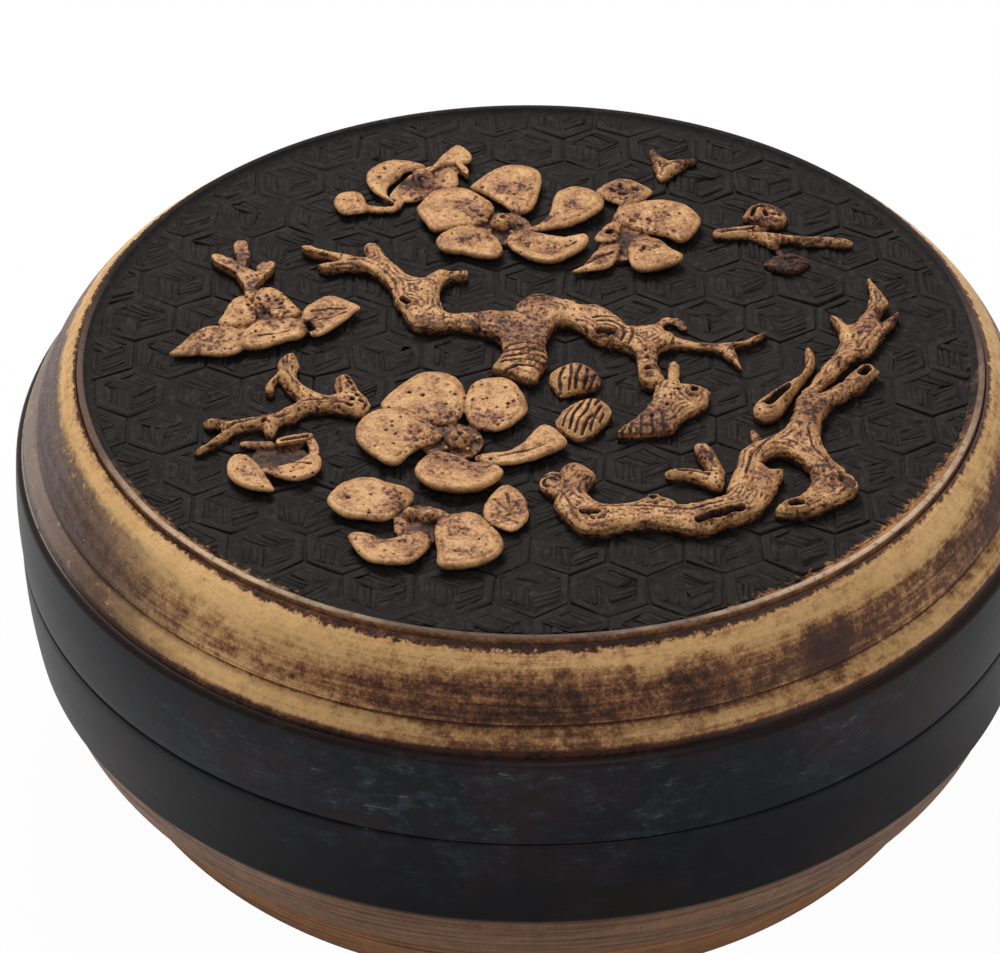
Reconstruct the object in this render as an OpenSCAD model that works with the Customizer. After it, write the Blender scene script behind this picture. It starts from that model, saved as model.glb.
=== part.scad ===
// Round lidded incense box with a carved top panel, in millimetres.
// The origin is the middle of the foot's lower face, with +Z up and -Y towards the viewer.

/* [Black wall] */
// Diameter of the box at the seam between bowl and lid
seam_d = 78; // [66:1:92]
// Height of the seam above the table
seam_z = 20; // [18:0.5:24]
// Height of the lid's black wall above the seam
lid_wall_h = 7.6; // [6:0.1:10]
// Height of the bowl's black wall below the seam
bowl_wall_h = 8.2; // [6:0.1:9]
// How far the wall draws in at the bowl's lower edge
wall_draw = 0.6; // [0:0.1:1.5]
// Swell of the wall between its edges
wall_swell = 0.15; // [0.05:0.05:0.4]
// Chamfer on both edges of the seam
seam_chamfer = 0.25; // [0.1:0.05:0.5]
// Rounding of the wall's upper and lower edges
wall_round = 0.6; // [0.3:0.1:1]

/* [Lid mouldings] */
// Height of the bead above the black wall
bead_h = 1.9; // [1.2:0.1:3]
// Gap between the wall's upper edge and the foot of the bead
bead_step = 0.3; // [0.1:0.1:0.5]
// How far the bead leans in over its height
bead_in = 1.1; // [0.6:0.1:2]
// Bulge of the bead
bead_bulge = 0.25; // [0.1:0.05:0.5]
// Depth of the fine groove above the bead
groove_depth = 0.2; // [0.1:0.05:0.4]
// Height of the convex shoulder above the bead
shoulder_h = 4.9; // [4:0.1:7]
// How far the convex shoulder leans in over its height
shoulder_in = 3.2; // [2:0.1:5]
// Bulge of the convex shoulder
shoulder_bulge = 0.5; // [0.2:0.1:1]
// Width of the shoulder's sloping inner edge
shoulder_lip = 0.6; // [0.3:0.1:1]
// Thickness of the lid's top under the panel
lid_top_t = 2.6; // [2:0.1:4]
// Largest radius of the cove inside the lid
lid_cove = 4; // [1:0.5:6]

/* [Bowl and foot] */
// Step from the wall's rounded lower edge in to the lower moulding
moulding_step = 0.2; // [0.1:0.1:0.8]
// How far the lower moulding leans in towards the foot
moulding_in = 2.5; // [1.5:0.1:4]
// Bulge of the lower moulding
moulding_bulge = 0.6; // [0.2:0.1:1]
// Height of the foot ring
foot_h = 5.9; // [4.5:0.1:7]
// Inset of the foot ring under the moulding
foot_in = 0.5; // [0.2:0.1:1.5]
// How far the foot ring draws in towards the table
foot_draw = 2.9; // [1:0.1:3.5]
// Bulge of the foot ring's outer face
foot_bulge = 0.4; // [0.1:0.1:0.8]
// Width of the foot ring's lower face
foot_w = 2.6; // [2:0.1:4]
// Depth of the hollow under the foot
foot_hollow = 2.5; // [1.5:0.1:3.5]
// Thickness of the bowl's floor above the foot ring
floor_t = 2.4; // [1.8:0.1:4]
// Largest radius of the cove between the bowl's floor and wall
bowl_cove = 3; // [1:0.5:4]

/* [Inner rim] */
// Thickness of the bowl's and the lid's wall at the seam
wall_t = 3; // [2.4:0.1:4]
// Thickness of the standing collar
collar_t = 1.6; // [1.2:0.1:2.2]
// Height of the collar above the seam
collar_up = 4.5; // [3:0.1:5.5]
// Depth of the collar's seat below the seam
collar_down = 8; // [5:0.1:9]
// Clearance between the collar and the lid
lid_clearance = 0.25; // [0.15:0.05:0.5]
// Clearance of glued round fits
glue_gap = 0.1; // [0.05:0.05:0.2]

/* [Panel] */
// Thickness of the panel under its ground
panel_t = 2.2; // [1.6:0.1:3]
// Width of the panel's raised rim
rim_w = 1.4; // [0.8:0.1:2]
// Drop of the panel's ground below the shoulder's upper edge
ground_drop = 0.1; // [0:0.1:0.5]
// Height of the panel's raised rim above the ground
rim_h = 0.45; // [0.2:0.05:0.8]
// Distance across the flats of a ground cell
cell_pitch = 5.4; // [4:0.1:8]
// Width of the grooves between ground cells
cell_groove_w = 0.45; // [0.3:0.05:0.8]
// Depth of the grooves between ground cells
cell_groove_d = 0.25; // [0.15:0.05:0.4]

/* [Carving] */
// Height of a full petal above the ground
petal_h = 1.9; // [1.2:0.1:2.6]
// Height of the branches above the ground
branch_h = 1.7; // [1.2:0.1:2.4]
// Height of the thin twigs above the ground
twig_h = 1.2; // [0.8:0.1:2]

/* [Hidden] */
$fn = 96;

black = "#262326";
ground_black = "#2d2a28";
gilt = "#cfa066";
worn_gilt = "#a97e4b";
foot_brown = "#7a5a40";

// Share of a quarter round's radius by which it stands off its chord
quarter_sag = 1 - cos(45);
arc_steps = 6;

wall_r = seam_d / 2;
wall_top_z = seam_z + lid_wall_h;
wall_bottom_z = seam_z - bowl_wall_h;
bowl_edge_r = wall_r - wall_draw;

collar_r = wall_r - wall_t;
collar_in_r = collar_r - collar_t;
collar_top_z = seam_z + collar_up;
collar_seat_z = seam_z - collar_down;
collar_round = collar_t / 4;
lid_in_r = collar_r + lid_clearance;

bead_r = wall_r - wall_round;
groove_r = bead_r - bead_in;
groove_z = wall_top_z + bead_h;
shoulder_top_z = groove_z + shoulder_h;
shoulder_top_r = groove_r - shoulder_in;
recess_r = shoulder_top_r - shoulder_lip;

panel_r = recess_r - glue_gap;
ground_z = shoulder_top_z - ground_drop;
recess_z = ground_z - panel_t;
lid_ceiling_z = recess_z - lid_top_t;
lid_cove_r = min(lid_cove, lid_ceiling_z - collar_top_z - lid_clearance);
ground_r = panel_r - rim_w;

moulding_top_r = bowl_edge_r - wall_round - moulding_step;
moulding_foot_r = moulding_top_r - moulding_in;
foot_top_r = moulding_foot_r - foot_in;
foot_bottom_r = foot_top_r - foot_draw;
foot_in_r = foot_bottom_r - foot_w;
spigot_r = foot_in_r - glue_gap;
floor_z = foot_h + floor_t;
bowl_cove_r = min(bowl_cove, collar_seat_z - floor_z);

// The carving is laid out on a ground of this radius and follows the panel's own
layout_r = 31.8;
plan = ground_r / layout_r;
petal_points = 14;

// Points of a shallow arc from p to q that stands off its chord by sag, to the right of the way
function bow(p, q, sag) =
  let (
    chord = norm(q - p),
    along = (q - p) / chord,
    side = [along.y, -along.x],
    radius = (chord * chord / 4 + sag * sag) / (2 * sag),
    half = asin(min(1, chord / 2 / radius)),
    middle = (p + q) / 2 + side * (sag - radius)
  )
  [for (i = [0 : arc_steps])
    let (turn = -half + 2 * half * i / arc_steps)
    middle + radius * (side * cos(turn) + along * sin(turn))];

module turned(outline) {
  rotate_extrude() polygon(outline);
}

module foot_ring() {
  color(foot_brown) turned([
    [foot_in_r, 0],
    each bow([foot_bottom_r, 0], [foot_top_r, foot_h], foot_bulge),
    [foot_in_r, foot_h]
  ]);
}

module body_bowl() {
  color(black) turned([
    [0, foot_hollow],
    [spigot_r, foot_hollow],
    [spigot_r, foot_h],
    each bow([moulding_foot_r, foot_h], [moulding_top_r, wall_bottom_z], moulding_bulge),
    each bow([bowl_edge_r - wall_round, wall_bottom_z], [bowl_edge_r, wall_bottom_z + wall_round],
      wall_round * quarter_sag),
    each bow([bowl_edge_r, wall_bottom_z + wall_round], [wall_r, seam_z - seam_chamfer], wall_swell),
    [wall_r - seam_chamfer, seam_z],
    [collar_r + glue_gap, seam_z],
    [collar_r + glue_gap, collar_seat_z],
    [collar_in_r, collar_seat_z],
    each bow([collar_in_r, floor_z + bowl_cove_r], [collar_in_r - bowl_cove_r, floor_z],
      -bowl_cove_r * quarter_sag),
    [0, floor_z]
  ]);
}

module inner_rim() {
  color(black) turned([
    [collar_in_r, collar_seat_z],
    [collar_r, collar_seat_z],
    each bow([collar_r, collar_top_z - collar_round], [collar_r - collar_round, collar_top_z],
      collar_round * quarter_sag),
    each bow([collar_in_r + collar_round, collar_top_z], [collar_in_r, collar_top_z - collar_round],
      collar_round * quarter_sag)
  ]);
}

module lid_ring() {
  color(worn_gilt) turned([
    [lid_in_r, seam_z],
    [wall_r - seam_chamfer, seam_z],
    each bow([wall_r, seam_z + seam_chamfer], [wall_r, wall_top_z - wall_round], wall_swell),
    each bow([wall_r, wall_top_z - wall_round], [bead_r, wall_top_z], wall_round * quarter_sag),
    each bow([bead_r, wall_top_z + bead_step], [groove_r, groove_z - groove_depth], bead_bulge),
    [groove_r - groove_depth, groove_z],
    each bow([groove_r, groove_z + groove_depth], [shoulder_top_r, shoulder_top_z], shoulder_bulge),
    [recess_r, shoulder_top_z - shoulder_lip],
    [recess_r, recess_z],
    [0, recess_z],
    [0, lid_ceiling_z],
    each bow([lid_in_r - lid_cove_r, lid_ceiling_z], [lid_in_r, lid_ceiling_z - lid_cove_r],
      -lid_cove_r * quarter_sag)
  ]);
}

module ground_cells() {
  row_step = cell_pitch * sin(60);
  cell_r = (cell_pitch - cell_groove_w) / 2 / cos(30);
  rows = ceil(ground_r / row_step);
  columns = ceil(ground_r / cell_pitch);
  for (row = [-rows : rows], column = [-columns : columns]) {
    place = [(column + (row % 2 == 0 ? 0 : 0.5)) * cell_pitch, row * row_step];
    if (norm(place) + cell_r < ground_r)
      translate(place) rotate(30) circle(cell_r, $fn = 6);
  }
}

module top_panel() {
  color(ground_black) {
    turned([
      [0, recess_z],
      [panel_r, recess_z],
      [panel_r, ground_z - shoulder_lip],
      each bow([panel_r, ground_z], [ground_r, ground_z - cell_groove_d], rim_h),
      [0, ground_z - cell_groove_d]
    ]);
    translate([0, 0, recess_z + panel_t / 2]) linear_extrude(panel_t / 2) ground_cells();
  }
}

// Closed skin through rings with the same number of points, capped at both ends
module loft(rings) {
  count = len(rings[0]);
  last = (len(rings) - 1) * count;
  polyhedron(
    points = [for (ring = rings) each ring],
    faces = [
      for (i = [0 : len(rings) - 2], j = [0 : count - 1])
        let (a = i * count + j, b = i * count + (j + 1) % count)
        each [[a, a + count, b], [b, a + count, b + count]],
      for (j = [1 : count - 2]) [0, j, j + 1],
      for (j = [1 : count - 2]) [last, last + j + 1, last + j]
    ]
  );
}

// Cupped petal: its place, length, width, direction and share of the full height
module petal(x, y, long, wide, turn = 0, high = 1) {
  // Share of the outline's size and of the height at each ring, from the ground to the hollow
  rings = [[0.9, 0], [1, 0.4], [0.9, 0.8], [0.62, 1], [0.25, 0.88]];
  translate([x * plan, y * plan, ground_z]) rotate(turn) loft([
    for (ring = rings) [
      for (i = [0 : petal_points - 1])
        let (t = 360 * i / petal_points)
        [ring[0] * plan * long / 2 * cos(t), ring[0] * plan * wide / 2 * sin(t), ring[1] * high * petal_h]
    ]
  ]);
}

// Ridge with a rounded back along a path of [x, y, width] points
module ridge(path, high = branch_h) {
  last = len(path) - 1;
  // Share of the half width and of the height round the section
  section = [[0.92, 0], [1, 0.45], [0.5, 1], [-0.5, 1], [-1, 0.45], [-0.92, 0]];
  translate([0, 0, ground_z]) loft([
    for (i = [0 : last])
      let (
        from = path[max(i - 1, 0)],
        to = path[min(i + 1, last)],
        way = [to.x - from.x, to.y - from.y],
        side = [-way.y, way.x] / norm(way)
      )
      [for (s = section)
        let (flat = (path[i] + [side.x, side.y, 0] * s[0] * path[i][2] / 2) * plan)
        [flat.x, flat.y, s[1] * high]]
  ]);
}

module main_branch() {
  color(worn_gilt) {
    ridge([[-17.7, 13.3, 0.8], [-15, 12.2, 1.3], [-12.5, 11, 1.6], [-10.6, 9.3, 2.2], [-9, 6.6, 3],
      [-8.5, 4.4, 3], [-8, 2.2, 2]]);
    ridge([[-16, 10.5, 0.7], [-13.6, 10.4, 1.2], [-11.4, 9.7, 1.4]]);
    ridge([[-12.7, 13.8, 0.9], [-11.4, 11.5, 1.3], [-9.8, 8.8, 1.6]]);
    ridge([[-5.3, 9.7, 0.9], [-6.7, 9.4, 1.4], [-8.6, 7.4, 1.8]]);
    ridge([[-8.4, 4.2, 2], [-6.4, 3.4, 2], [-4.4, 3, 2.2], [-2, 3.6, 2.8], [1, 4.7, 3.4], [3.6, 4.6, 3.6],
      [5.6, 2.8, 3.8], [6.9, 0.4, 3], [8.2, -2, 2], [9.2, -4.4, 2.2], [11.6, -6, 2.8]]);
    ridge([[0, 6.6, 2], [-0.2, 4, 3], [-0.3, 1, 2.9], [-0.6, -1.6, 3.4], [-0.5, -3.7, 1.2]]);
    ridge([[7.2, 0.2, 1.8], [9.6, 0.4, 1.8], [12.4, 0, 1.4], [15.2, 0, 1.1], [17.6, 1.6, 0.5]]);
    ridge([[13, 0, 0.9], [14.6, -0.8, 0.8], [15.4, -2.4, 0.4]], twig_h);
    ridge([[9.4, 0.6, 1.2], [9.2, 2.6, 1.2], [10.6, 3.4, 1], [11.6, 2.2, 0.6]], twig_h);
    ridge([[12.2, -5.6, 2.2], [10.6, -7.2, 2.8], [9, -8.6, 3], [7, -10.2, 2.8]]);
    ridge([[10.7, -1.8, 0.6], [10.8, -3.6, 0.8], [11.4, -5.4, 1]], twig_h);
  }
}

module lower_branch() {
  color(worn_gilt) {
    ridge([[1.1, -16.4, 1.4], [1.9, -18.2, 2.2], [3.6, -20.3, 3], [6, -20.6, 3.2], [9, -20.2, 3.2],
      [12, -20.8, 2.8], [14.6, -19.6, 2.8], [16, -17, 2.5], [16.6, -14, 2.8], [18.2, -11.4, 3.8],
      [20, -8.2, 2.4], [21.6, -5, 2.6], [23.5, -1.6, 2.6], [24.6, 1, 2.4], [26, 4, 1.6], [26.5, 6.4, 1],
      [26, 8.8, 0.4]]);
    ridge([[3, -14.4, 1], [3.5, -16.4, 1.6], [3.8, -19, 1.8]]);
    ridge([[19, -11.6, 2.2], [20.9, -13.8, 2.2], [22.3, -16.4, 1.9], [21, -18.6, 1.9], [18.8, -20, 1.7],
      [17.6, -20.8, 0.7]]);
    ridge([[23.2, 3.6, 0.4], [23.5, 1.6, 1], [23.9, -0.8, 1.4]], twig_h);
    ridge([[27.6, 3.8, 0.4], [26.4, 1.2, 1], [25.3, -1, 1.2]], twig_h);
    ridge([[24, -1.8, 1.2], [25.2, -3, 1.4], [24.2, -5.2, 1.4], [22.4, -7.4, 1.4], [20.8, -9.4, 1.4]], twig_h);
    ridge([[16.2, -9.8, 0.4], [16.4, -11.4, 0.8], [17, -13, 1]], twig_h);
  }
}

module left_twig() {
  color(worn_gilt) {
    ridge([[-24.3, -12.6, 0.5], [-22.8, -10.6, 1], [-21.2, -9.5, 1.3], [-19, -8.7, 1.7], [-17, -7.1, 1.9],
      [-14.8, -6.9, 1.6], [-12.9, -7.6, 1.5]], twig_h);
    ridge([[-24, -9.4, 0.6], [-22.4, -9.6, 1], [-20.6, -9.4, 1.2]], twig_h);
    ridge([[-18.2, -0.4, 0.8], [-18.6, -3, 1.3], [-17.8, -5, 1.5], [-16.4, -6.8, 1.6]], twig_h);
    ridge([[-14, -3.4, 0.9], [-13.4, -5.4, 1.1], [-13, -7.2, 1.2]], twig_h);
  }
}

module right_twig() {
  color(worn_gilt) {
    ridge([[14.3, 15.1, 0.9], [17, 15.3, 1.2], [20, 14.7, 1.1], [24.8, 13.9, 0.7]], twig_h);
    ridge([[14.6, 16.1, 0.5], [16.6, 16.1, 0.8], [18.2, 16, 0.8], [19, 14.8, 0.8]], twig_h);
    ridge([[18.4, 15, 0.8], [19.1, 13.6, 1], [19.7, 12.4, 1]], twig_h);
    petal(18.4, 18, 3.4, 3.8, 20, 0.75);
    petal(19.8, 11.8, 3.2, 2.9, 0, 0.7);
  }
}

module corner_twig() {
  color(worn_gilt) {
    ridge([[9.7, 27, 0.4], [10.2, 24.8, 1.3], [10.5, 22.8, 0.7]], twig_h);
    ridge([[13, 25.6, 0.4], [11.6, 24.5, 1.5], [10.4, 23.4, 1]], twig_h);
  }
}

module leaf_twig() {
  color(worn_gilt) {
    ridge([[12.4, -11.2, 0.4], [12.9, -13.2, 1.7], [13.4, -15.2, 1.3], [13.6, -16.8, 0.6]], twig_h);
    ridge([[9.7, -15.5, 0.6], [11.4, -15.4, 1.3], [13.5, -16.6, 0.7]], twig_h);
  }
}

module drop_twig() {
  color(worn_gilt) {
    ridge([[20.9, -0.2, 0.4], [20.5, -2.4, 0.8], [19.3, -4.6, 1.2], [18.2, -6, 2], [17.4, -7.4, 2.5],
      [16.9, -8.6, 1.6]], twig_h);
  }
}

module back_blossom() {
  color(gilt) {
    petal(-1.7, 22, 5.4, 5, 84);
    petal(-6, 18.6, 5.4, 4.9, 170);
    petal(-4.7, 13.8, 4.9, 4.6, 230, 0.95);
    petal(1.2, 13.4, 5.6, 3.6, -10, 0.9);
    petal(2.9, 18.5, 6.2, 3.6, 48, 0.95);
    petal(-2, 17, 6.6, 6.4, 0, 0.5);
    petal(-2, 17.2, 2.8, 2.6, 0, 0.75);
  }
}

module back_right_blossom() {
  color(gilt) {
    petal(10, 17.3, 5.9, 4.8, 10);
    petal(9.3, 12.2, 5.2, 3.6, -70, 0.95);
    petal(5.4, 11.9, 4.6, 2, 44, 0.75);
    petal(6.4, 15, 3, 1.9, 80, 0.7);
    petal(7.4, 14.4, 5, 4.2, 60, 0.5);
    petal(7.4, 21.2, 3.8, 3.3, 0, 0.75);
    petal(8.2, 19.2, 2.6, 1.6, 90, 0.5);
  }
}

module back_left_buds() {
  color(gilt) {
    ridge([[-8.7, 24.2, 1], [-10.4, 24.5, 1.6], [-11.9, 23.6, 2], [-12, 22, 1.9], [-11.2, 20.4, 1.2]]);
    petal(-8.7, 22.6, 2.4, 2.2, 60, 0.8);
    petal(-9.6, 21.4, 2.4, 1.8, 120, 0.7);
    petal(-6.4, 23.7, 2.6, 2.2, 70, 0.75);
    petal(-6.1, 25.6, 3.8, 2.6, 75, 0.85);
    petal(-7.6, 23.2, 2, 1.4, 0, 0.6);
    petal(-14, 19.4, 3.2, 2.6, 100, 0.8);
    ridge([[-13.8, 18.8, 1.2], [-12, 18.7, 1], [-10.8, 19.2, 1], [-10.6, 20.8, 1]], twig_h);
  }
}

module left_blossom() {
  color(gilt) {
    petal(-21.8, 5, 3.6, 2.6, 75, 0.85);
    petal(-19.6, 5.8, 4.2, 2.8, 110, 0.9);
    petal(-15.7, 4.1, 4.4, 3.8, 30, 0.95);
    petal(-19.3, 1.8, 4.6, 3.4, 10);
    petal(-24, 0.4, 5.6, 3.3, 12, 0.95);
    petal(-17.6, 3, 2.4, 2, 0, 0.6);
    petal(-21.6, 2.6, 3.6, 2.4, 60, 0.6);
    ridge([[-20.6, 6.6, 1.4], [-21.4, 8.6, 1.3], [-22.2, 10.4, 1.2], [-24.5, 12, 0.6]], twig_h);
    ridge([[-22.4, 13.8, 0.7], [-22.1, 11.6, 1.2], [-21.5, 9.2, 1.2]], twig_h);
    ridge([[-20.2, 11.2, 0.8], [-20.6, 9.6, 1.1], [-21.2, 8.2, 1.1]], twig_h);
  }
}

module half_blossom() {
  color(gilt) {
    petal(-20.4, -15.5, 4.4, 1.9, -52, 0.9);
    petal(-17.5, -14.6, 3.7, 3.2, -20, 0.9);
    petal(-17.4, -12, 2.4, 1.8, 30, 0.7);
    petal(-19.6, -12.4, 2.6, 1.6, 10, 0.6);
    petal(-18.9, -13.6, 3.6, 3.4, 0, 0.5);
  }
}

module front_blossom() {
  color(gilt) {
    petal(-8, -6.2, 5.6, 5.4, 40);
    petal(-2.6, -7.2, 5.8, 3.8, 100);
    petal(-10, -11.3, 5.9, 5.8, 10);
    petal(-5.2, -15.4, 5.6, 4.9, -10);
    petal(-0.7, -12.5, 6.6, 3, 34, 0.95);
    petal(-5.4, -11, 6.6, 6.6, 0, 0.5);
    petal(-5.4, -11, 3, 2.6, 90, 0.8);
  }
}

module front_lower_blossom() {
  color(gilt) {
    petal(-12, -18.6, 5.7, 4.5, -8);
    petal(-10.2, -24.3, 5.5, 3.6, -4, 0.9);
    petal(-4.6, -23.6, 6.1, 4.5, 80);
    petal(-1.7, -19.8, 5.4, 2.5, 84, 0.7);
    petal(-7.6, -21.2, 7, 6, 0, 0.5);
    petal(-8.3, -20.8, 3.2, 2.6, 90, 0.7);
    petal(-3.2, -20.8, 3, 2.2, 0, 0.5);
  }
}

module upper_striped_bud() {
  color(worn_gilt) petal(3.2, -4.2, 4.1, 3, 84, 0.85);
}

module lower_striped_bud() {
  color(worn_gilt) petal(3.9, -9.1, 5, 3.5, 78, 0.85);
}

foot_ring();
body_bowl();
inner_rim();
lid_ring();
top_panel();
main_branch();
lower_branch();
left_twig();
right_twig();
corner_twig();
leaf_twig();
drop_twig();
back_blossom();
back_right_blossom();
back_left_buds();
left_blossom();
half_blossom();
front_blossom();
front_lower_blossom();
upper_striped_bud();
lower_striped_bud();
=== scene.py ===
"""Looks of a round lidded incense box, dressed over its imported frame.

Pieces are modelled in millimetres, as a maker would measure them, and brought to metres when they are
finished. The carvings are modelled with the panel's ground at z = 0 and lifted onto it at the end.
"""
import math

import bpy
import numpy as np
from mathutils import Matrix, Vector, kdtree, noise as lumps


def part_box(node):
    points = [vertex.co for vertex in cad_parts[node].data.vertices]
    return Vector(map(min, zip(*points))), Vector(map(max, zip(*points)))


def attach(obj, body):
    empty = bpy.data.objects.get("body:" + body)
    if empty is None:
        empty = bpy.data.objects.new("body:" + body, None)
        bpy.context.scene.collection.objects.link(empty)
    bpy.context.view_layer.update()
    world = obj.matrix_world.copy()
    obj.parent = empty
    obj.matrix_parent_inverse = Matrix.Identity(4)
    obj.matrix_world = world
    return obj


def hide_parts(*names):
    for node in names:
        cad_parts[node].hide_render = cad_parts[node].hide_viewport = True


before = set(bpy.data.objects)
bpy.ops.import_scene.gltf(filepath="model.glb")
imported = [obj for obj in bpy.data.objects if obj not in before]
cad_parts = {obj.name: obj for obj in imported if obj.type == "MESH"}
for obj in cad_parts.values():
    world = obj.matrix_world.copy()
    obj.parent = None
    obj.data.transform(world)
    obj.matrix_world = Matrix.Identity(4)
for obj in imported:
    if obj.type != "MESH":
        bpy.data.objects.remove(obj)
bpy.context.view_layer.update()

MM = 0.001


def node_low(node):
    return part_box(node)[0] / MM


def node_high(node):
    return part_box(node)[1] / MM


# Sizes that the frame gives
seam_z = node_low("lid_ring").z
shoulder_top_z = node_high("lid_ring").z
collar_r = node_high("inner_rim").x
collar_seat_z = node_low("inner_rim").z
collar_top_z = node_high("inner_rim").z
recess_z = node_low("top_panel").z
ground_z = node_low("front_blossom").z
foot_h = node_high("foot_ring").z

# How far a quarter round of radius 1 stands off its chord
quarter_sag = 1 - math.cos(math.pi / 4)

# Fineness of the meshes
turn_steps = 240
voxel = 0.08
petal_voxel = 0.12
merge_gap = 0.001
pick_slack = 0.02

# Black wall
wall_swell = 0.15
wall_r = node_high("lid_ring").x - wall_swell
wall_top_z = seam_z + 7.6
wall_bottom_z = seam_z - 8.2
wall_round = 0.6
wall_draw = 0.6
seam_chamfer = 0.25
seam_gap = 0.03
bowl_edge_r = wall_r - wall_draw

# Lid mouldings
bead_r = wall_r - wall_round
bead_z = wall_top_z + 0.3
groove_r = bead_r - 1.1
groove_z = wall_top_z + 1.9
groove_depth = 0.2
bead_bulge = 0.25
shoulder_top_r = groove_r - 3.0
shoulder_bulge = 0.5
shoulder_lip = 0.25
lip_flat = 0.15
lip_drop = 0.05
lip_bulge = 0.06
lip_dark = 0.05
recess_r = shoulder_top_r - shoulder_lip
lid_in_r = collar_r + 0.25
lid_ceiling_z = recess_z - 2.6
lid_cove_r = 4.0

# Bowl, foot and collar
moulding_top_r = bowl_edge_r - wall_round - 0.2
moulding_foot_r = moulding_top_r - 2.5
moulding_bulge = 0.6
foot_top_r = moulding_foot_r - 0.5
foot_bottom_r = foot_top_r - 2.9
foot_bulge = 0.4
foot_in_r = foot_bottom_r - 2.6
foot_in_edge = 0.15
foot_out_edge = 0.2
foot_hollow_z = 2.5
spigot_r = foot_in_r - 0.1
floor_z = foot_h + 2.4
collar_in_r = collar_r - 1.6
collar_round = 0.4
collar_seat_r = collar_r + 0.1
bowl_cove_r = 3.0

# Panel
panel_r = recess_r - 0.05
rim_w = 1.25
rim_h = 0.45
crest_w = 0.15
crest_flat = 0.3
rim_hollow = 0.1
panel_chamfer = 0.2
ground_r = panel_r - rim_w
cell_pitch = 5.4
cell_gap = 0.22
cell_t = 0.6
cell_depth = 0.1
cell_frame_w = 0.32
cell_groove_w = 0.26
lozenge_gap = 0.1
bar_depth = 0.12
bar_gap = 0.085
bar_cuts = 3
cell_soft = 0.05
cell_middle = 0.1
hand_wander = 0.75
trim_over = 0.1
trim_h = 4

# Carving
sunk = 0.1
slip_root = 0.4
limb_swell = 0.58
gouge_floor = 0.05
petal_round = 0.8
petal_fall = 0.3
petal_back = 0.9
petal_front = 0.35
petal_side = 0.2
dish_start = 0.3
dish_reach = 0.9
line_depth = 0.065
line_in = 0.42
line_w = 0.14
undercut = 0.6
undercut_in = 0.4
undercut_share = 0.8
pad_h = 0.45
boss_w = 1.9
boss_h = 1.5
stamens = 5
stamen_w = 0.5
stamen_h = 0.85
stamen_reach = (1.4, 1.2)
stamen_turn = 12
vein_half = 0.7
hollow_full = 0.08
# Painted shade of the undercut at a carving's foot, with some dirt: how much darker the foot turns
foot_shade = 1.5


# Shader helpers

def tint(red, green, blue):
    """A colour as a screen shows it, 0 to 255, in the shader's own linear values."""
    parts = [part / 255 for part in (red, green, blue)]
    return [part / 12.92 if part <= 0.04045 else ((part + 0.055) / 1.055) ** 2.4 for part in parts] + [1]


def put(tree, kind, inputs, **fields):
    """Adds a node; inputs maps a socket's name or number to a value or to the socket that feeds it."""
    made = tree.nodes.new(kind)
    for field, value in fields.items():
        setattr(made, field, value)
    for label, value in inputs.items():
        if isinstance(value, bpy.types.NodeSocket):
            tree.links.new(value, made.inputs[label])
        else:
            made.inputs[label].default_value = value
    return made


def maths(tree, operation, first, second=0.0):
    return put(tree, "ShaderNodeMath", {0: first, 1: second}, operation=operation).outputs[0]


def total(tree, first, *others):
    """The sum of values."""
    for value in others:
        first = maths(tree, "ADD", first, value)
    return first


def product(tree, first, *others):
    """The product of values, such as masks that have to hold together."""
    for value in others:
        first = maths(tree, "MULTIPLY", first, value)
    return first


def swing(tree, value, amount):
    """A value about 0.5, as a change of so much about 0."""
    return product(tree, maths(tree, "SUBTRACT", value, 0.5), amount)


def stretch(tree, place, scale):
    """The place vector, scaled by its own number along each axis."""
    return put(tree, "ShaderNodeVectorMath", {0: place, 1: scale}, operation="MULTIPLY").outputs[0]


def noise(tree, place, scale, detail=3.0, rough=0.55):
    inputs = {"Vector": place, "Scale": scale, "Detail": detail, "Roughness": rough}
    return put(tree, "ShaderNodeTexNoise", inputs).outputs["Fac"]


def step(tree, value, low, high):
    """A soft step from 0 at low to 1 at high; low may be the larger."""
    inputs = {"Value": value, "From Min": low, "From Max": high}
    return put(tree, "ShaderNodeMapRange", inputs, interpolation_type="SMOOTHSTEP").outputs["Result"]


def mix(tree, share, first, second):
    """One colour blended into another by a share from 0 to 1."""
    return put(tree, "ShaderNodeMix", {0: share, 6: first, 7: second}, data_type="RGBA").outputs[2]


def lerp(tree, share, first, second):
    """One value blended into another by a share from 0 to 1."""
    return put(tree, "ShaderNodeMix", {0: share, 2: first, 3: second}, data_type="FLOAT").outputs[0]


def levels(tree, value, stops):
    """A grey level for a value, straight between (value, level) stops in order."""
    ramp = put(tree, "ShaderNodeFloatCurve", {"Value": value})
    curve = ramp.mapping.curves[0]
    for where, level in stops[1:-1]:
        curve.points.new(where, level)
    curve.points[0].location = stops[0]
    curve.points[-1].location = stops[-1]
    for point in curve.points:
        point.handle_type = "VECTOR"
    ramp.mapping.update()
    return ramp.outputs["Value"]


def shades(tree, value, stops):
    """A colour for a value, straight between (value, colour) stops in order."""
    ramp = put(tree, "ShaderNodeValToRGB", {"Fac": value})
    elements = ramp.color_ramp.elements
    elements[0].position = stops[0][0]
    elements[1].position = stops[-1][0]
    for where, _ in stops[1:-1]:
        elements.new(where)
    for element, (_, colour) in zip(elements, stops):
        element.color = tint(*colour)
    return ramp.outputs["Color"]


def millimetres(tree):
    """The place on a piece, in millimetres of the box's own frame."""
    where = put(tree, "ShaderNodeTexCoord", {}).outputs["Object"]
    return put(tree, "ShaderNodeVectorMath", {0: where, "Scale": 1 / MM}, operation="SCALE").outputs[0]


def axes_of(tree, place):
    """A place's x, y and z."""
    return tuple(put(tree, "ShaderNodeSeparateXYZ", {0: place}).outputs)


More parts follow.
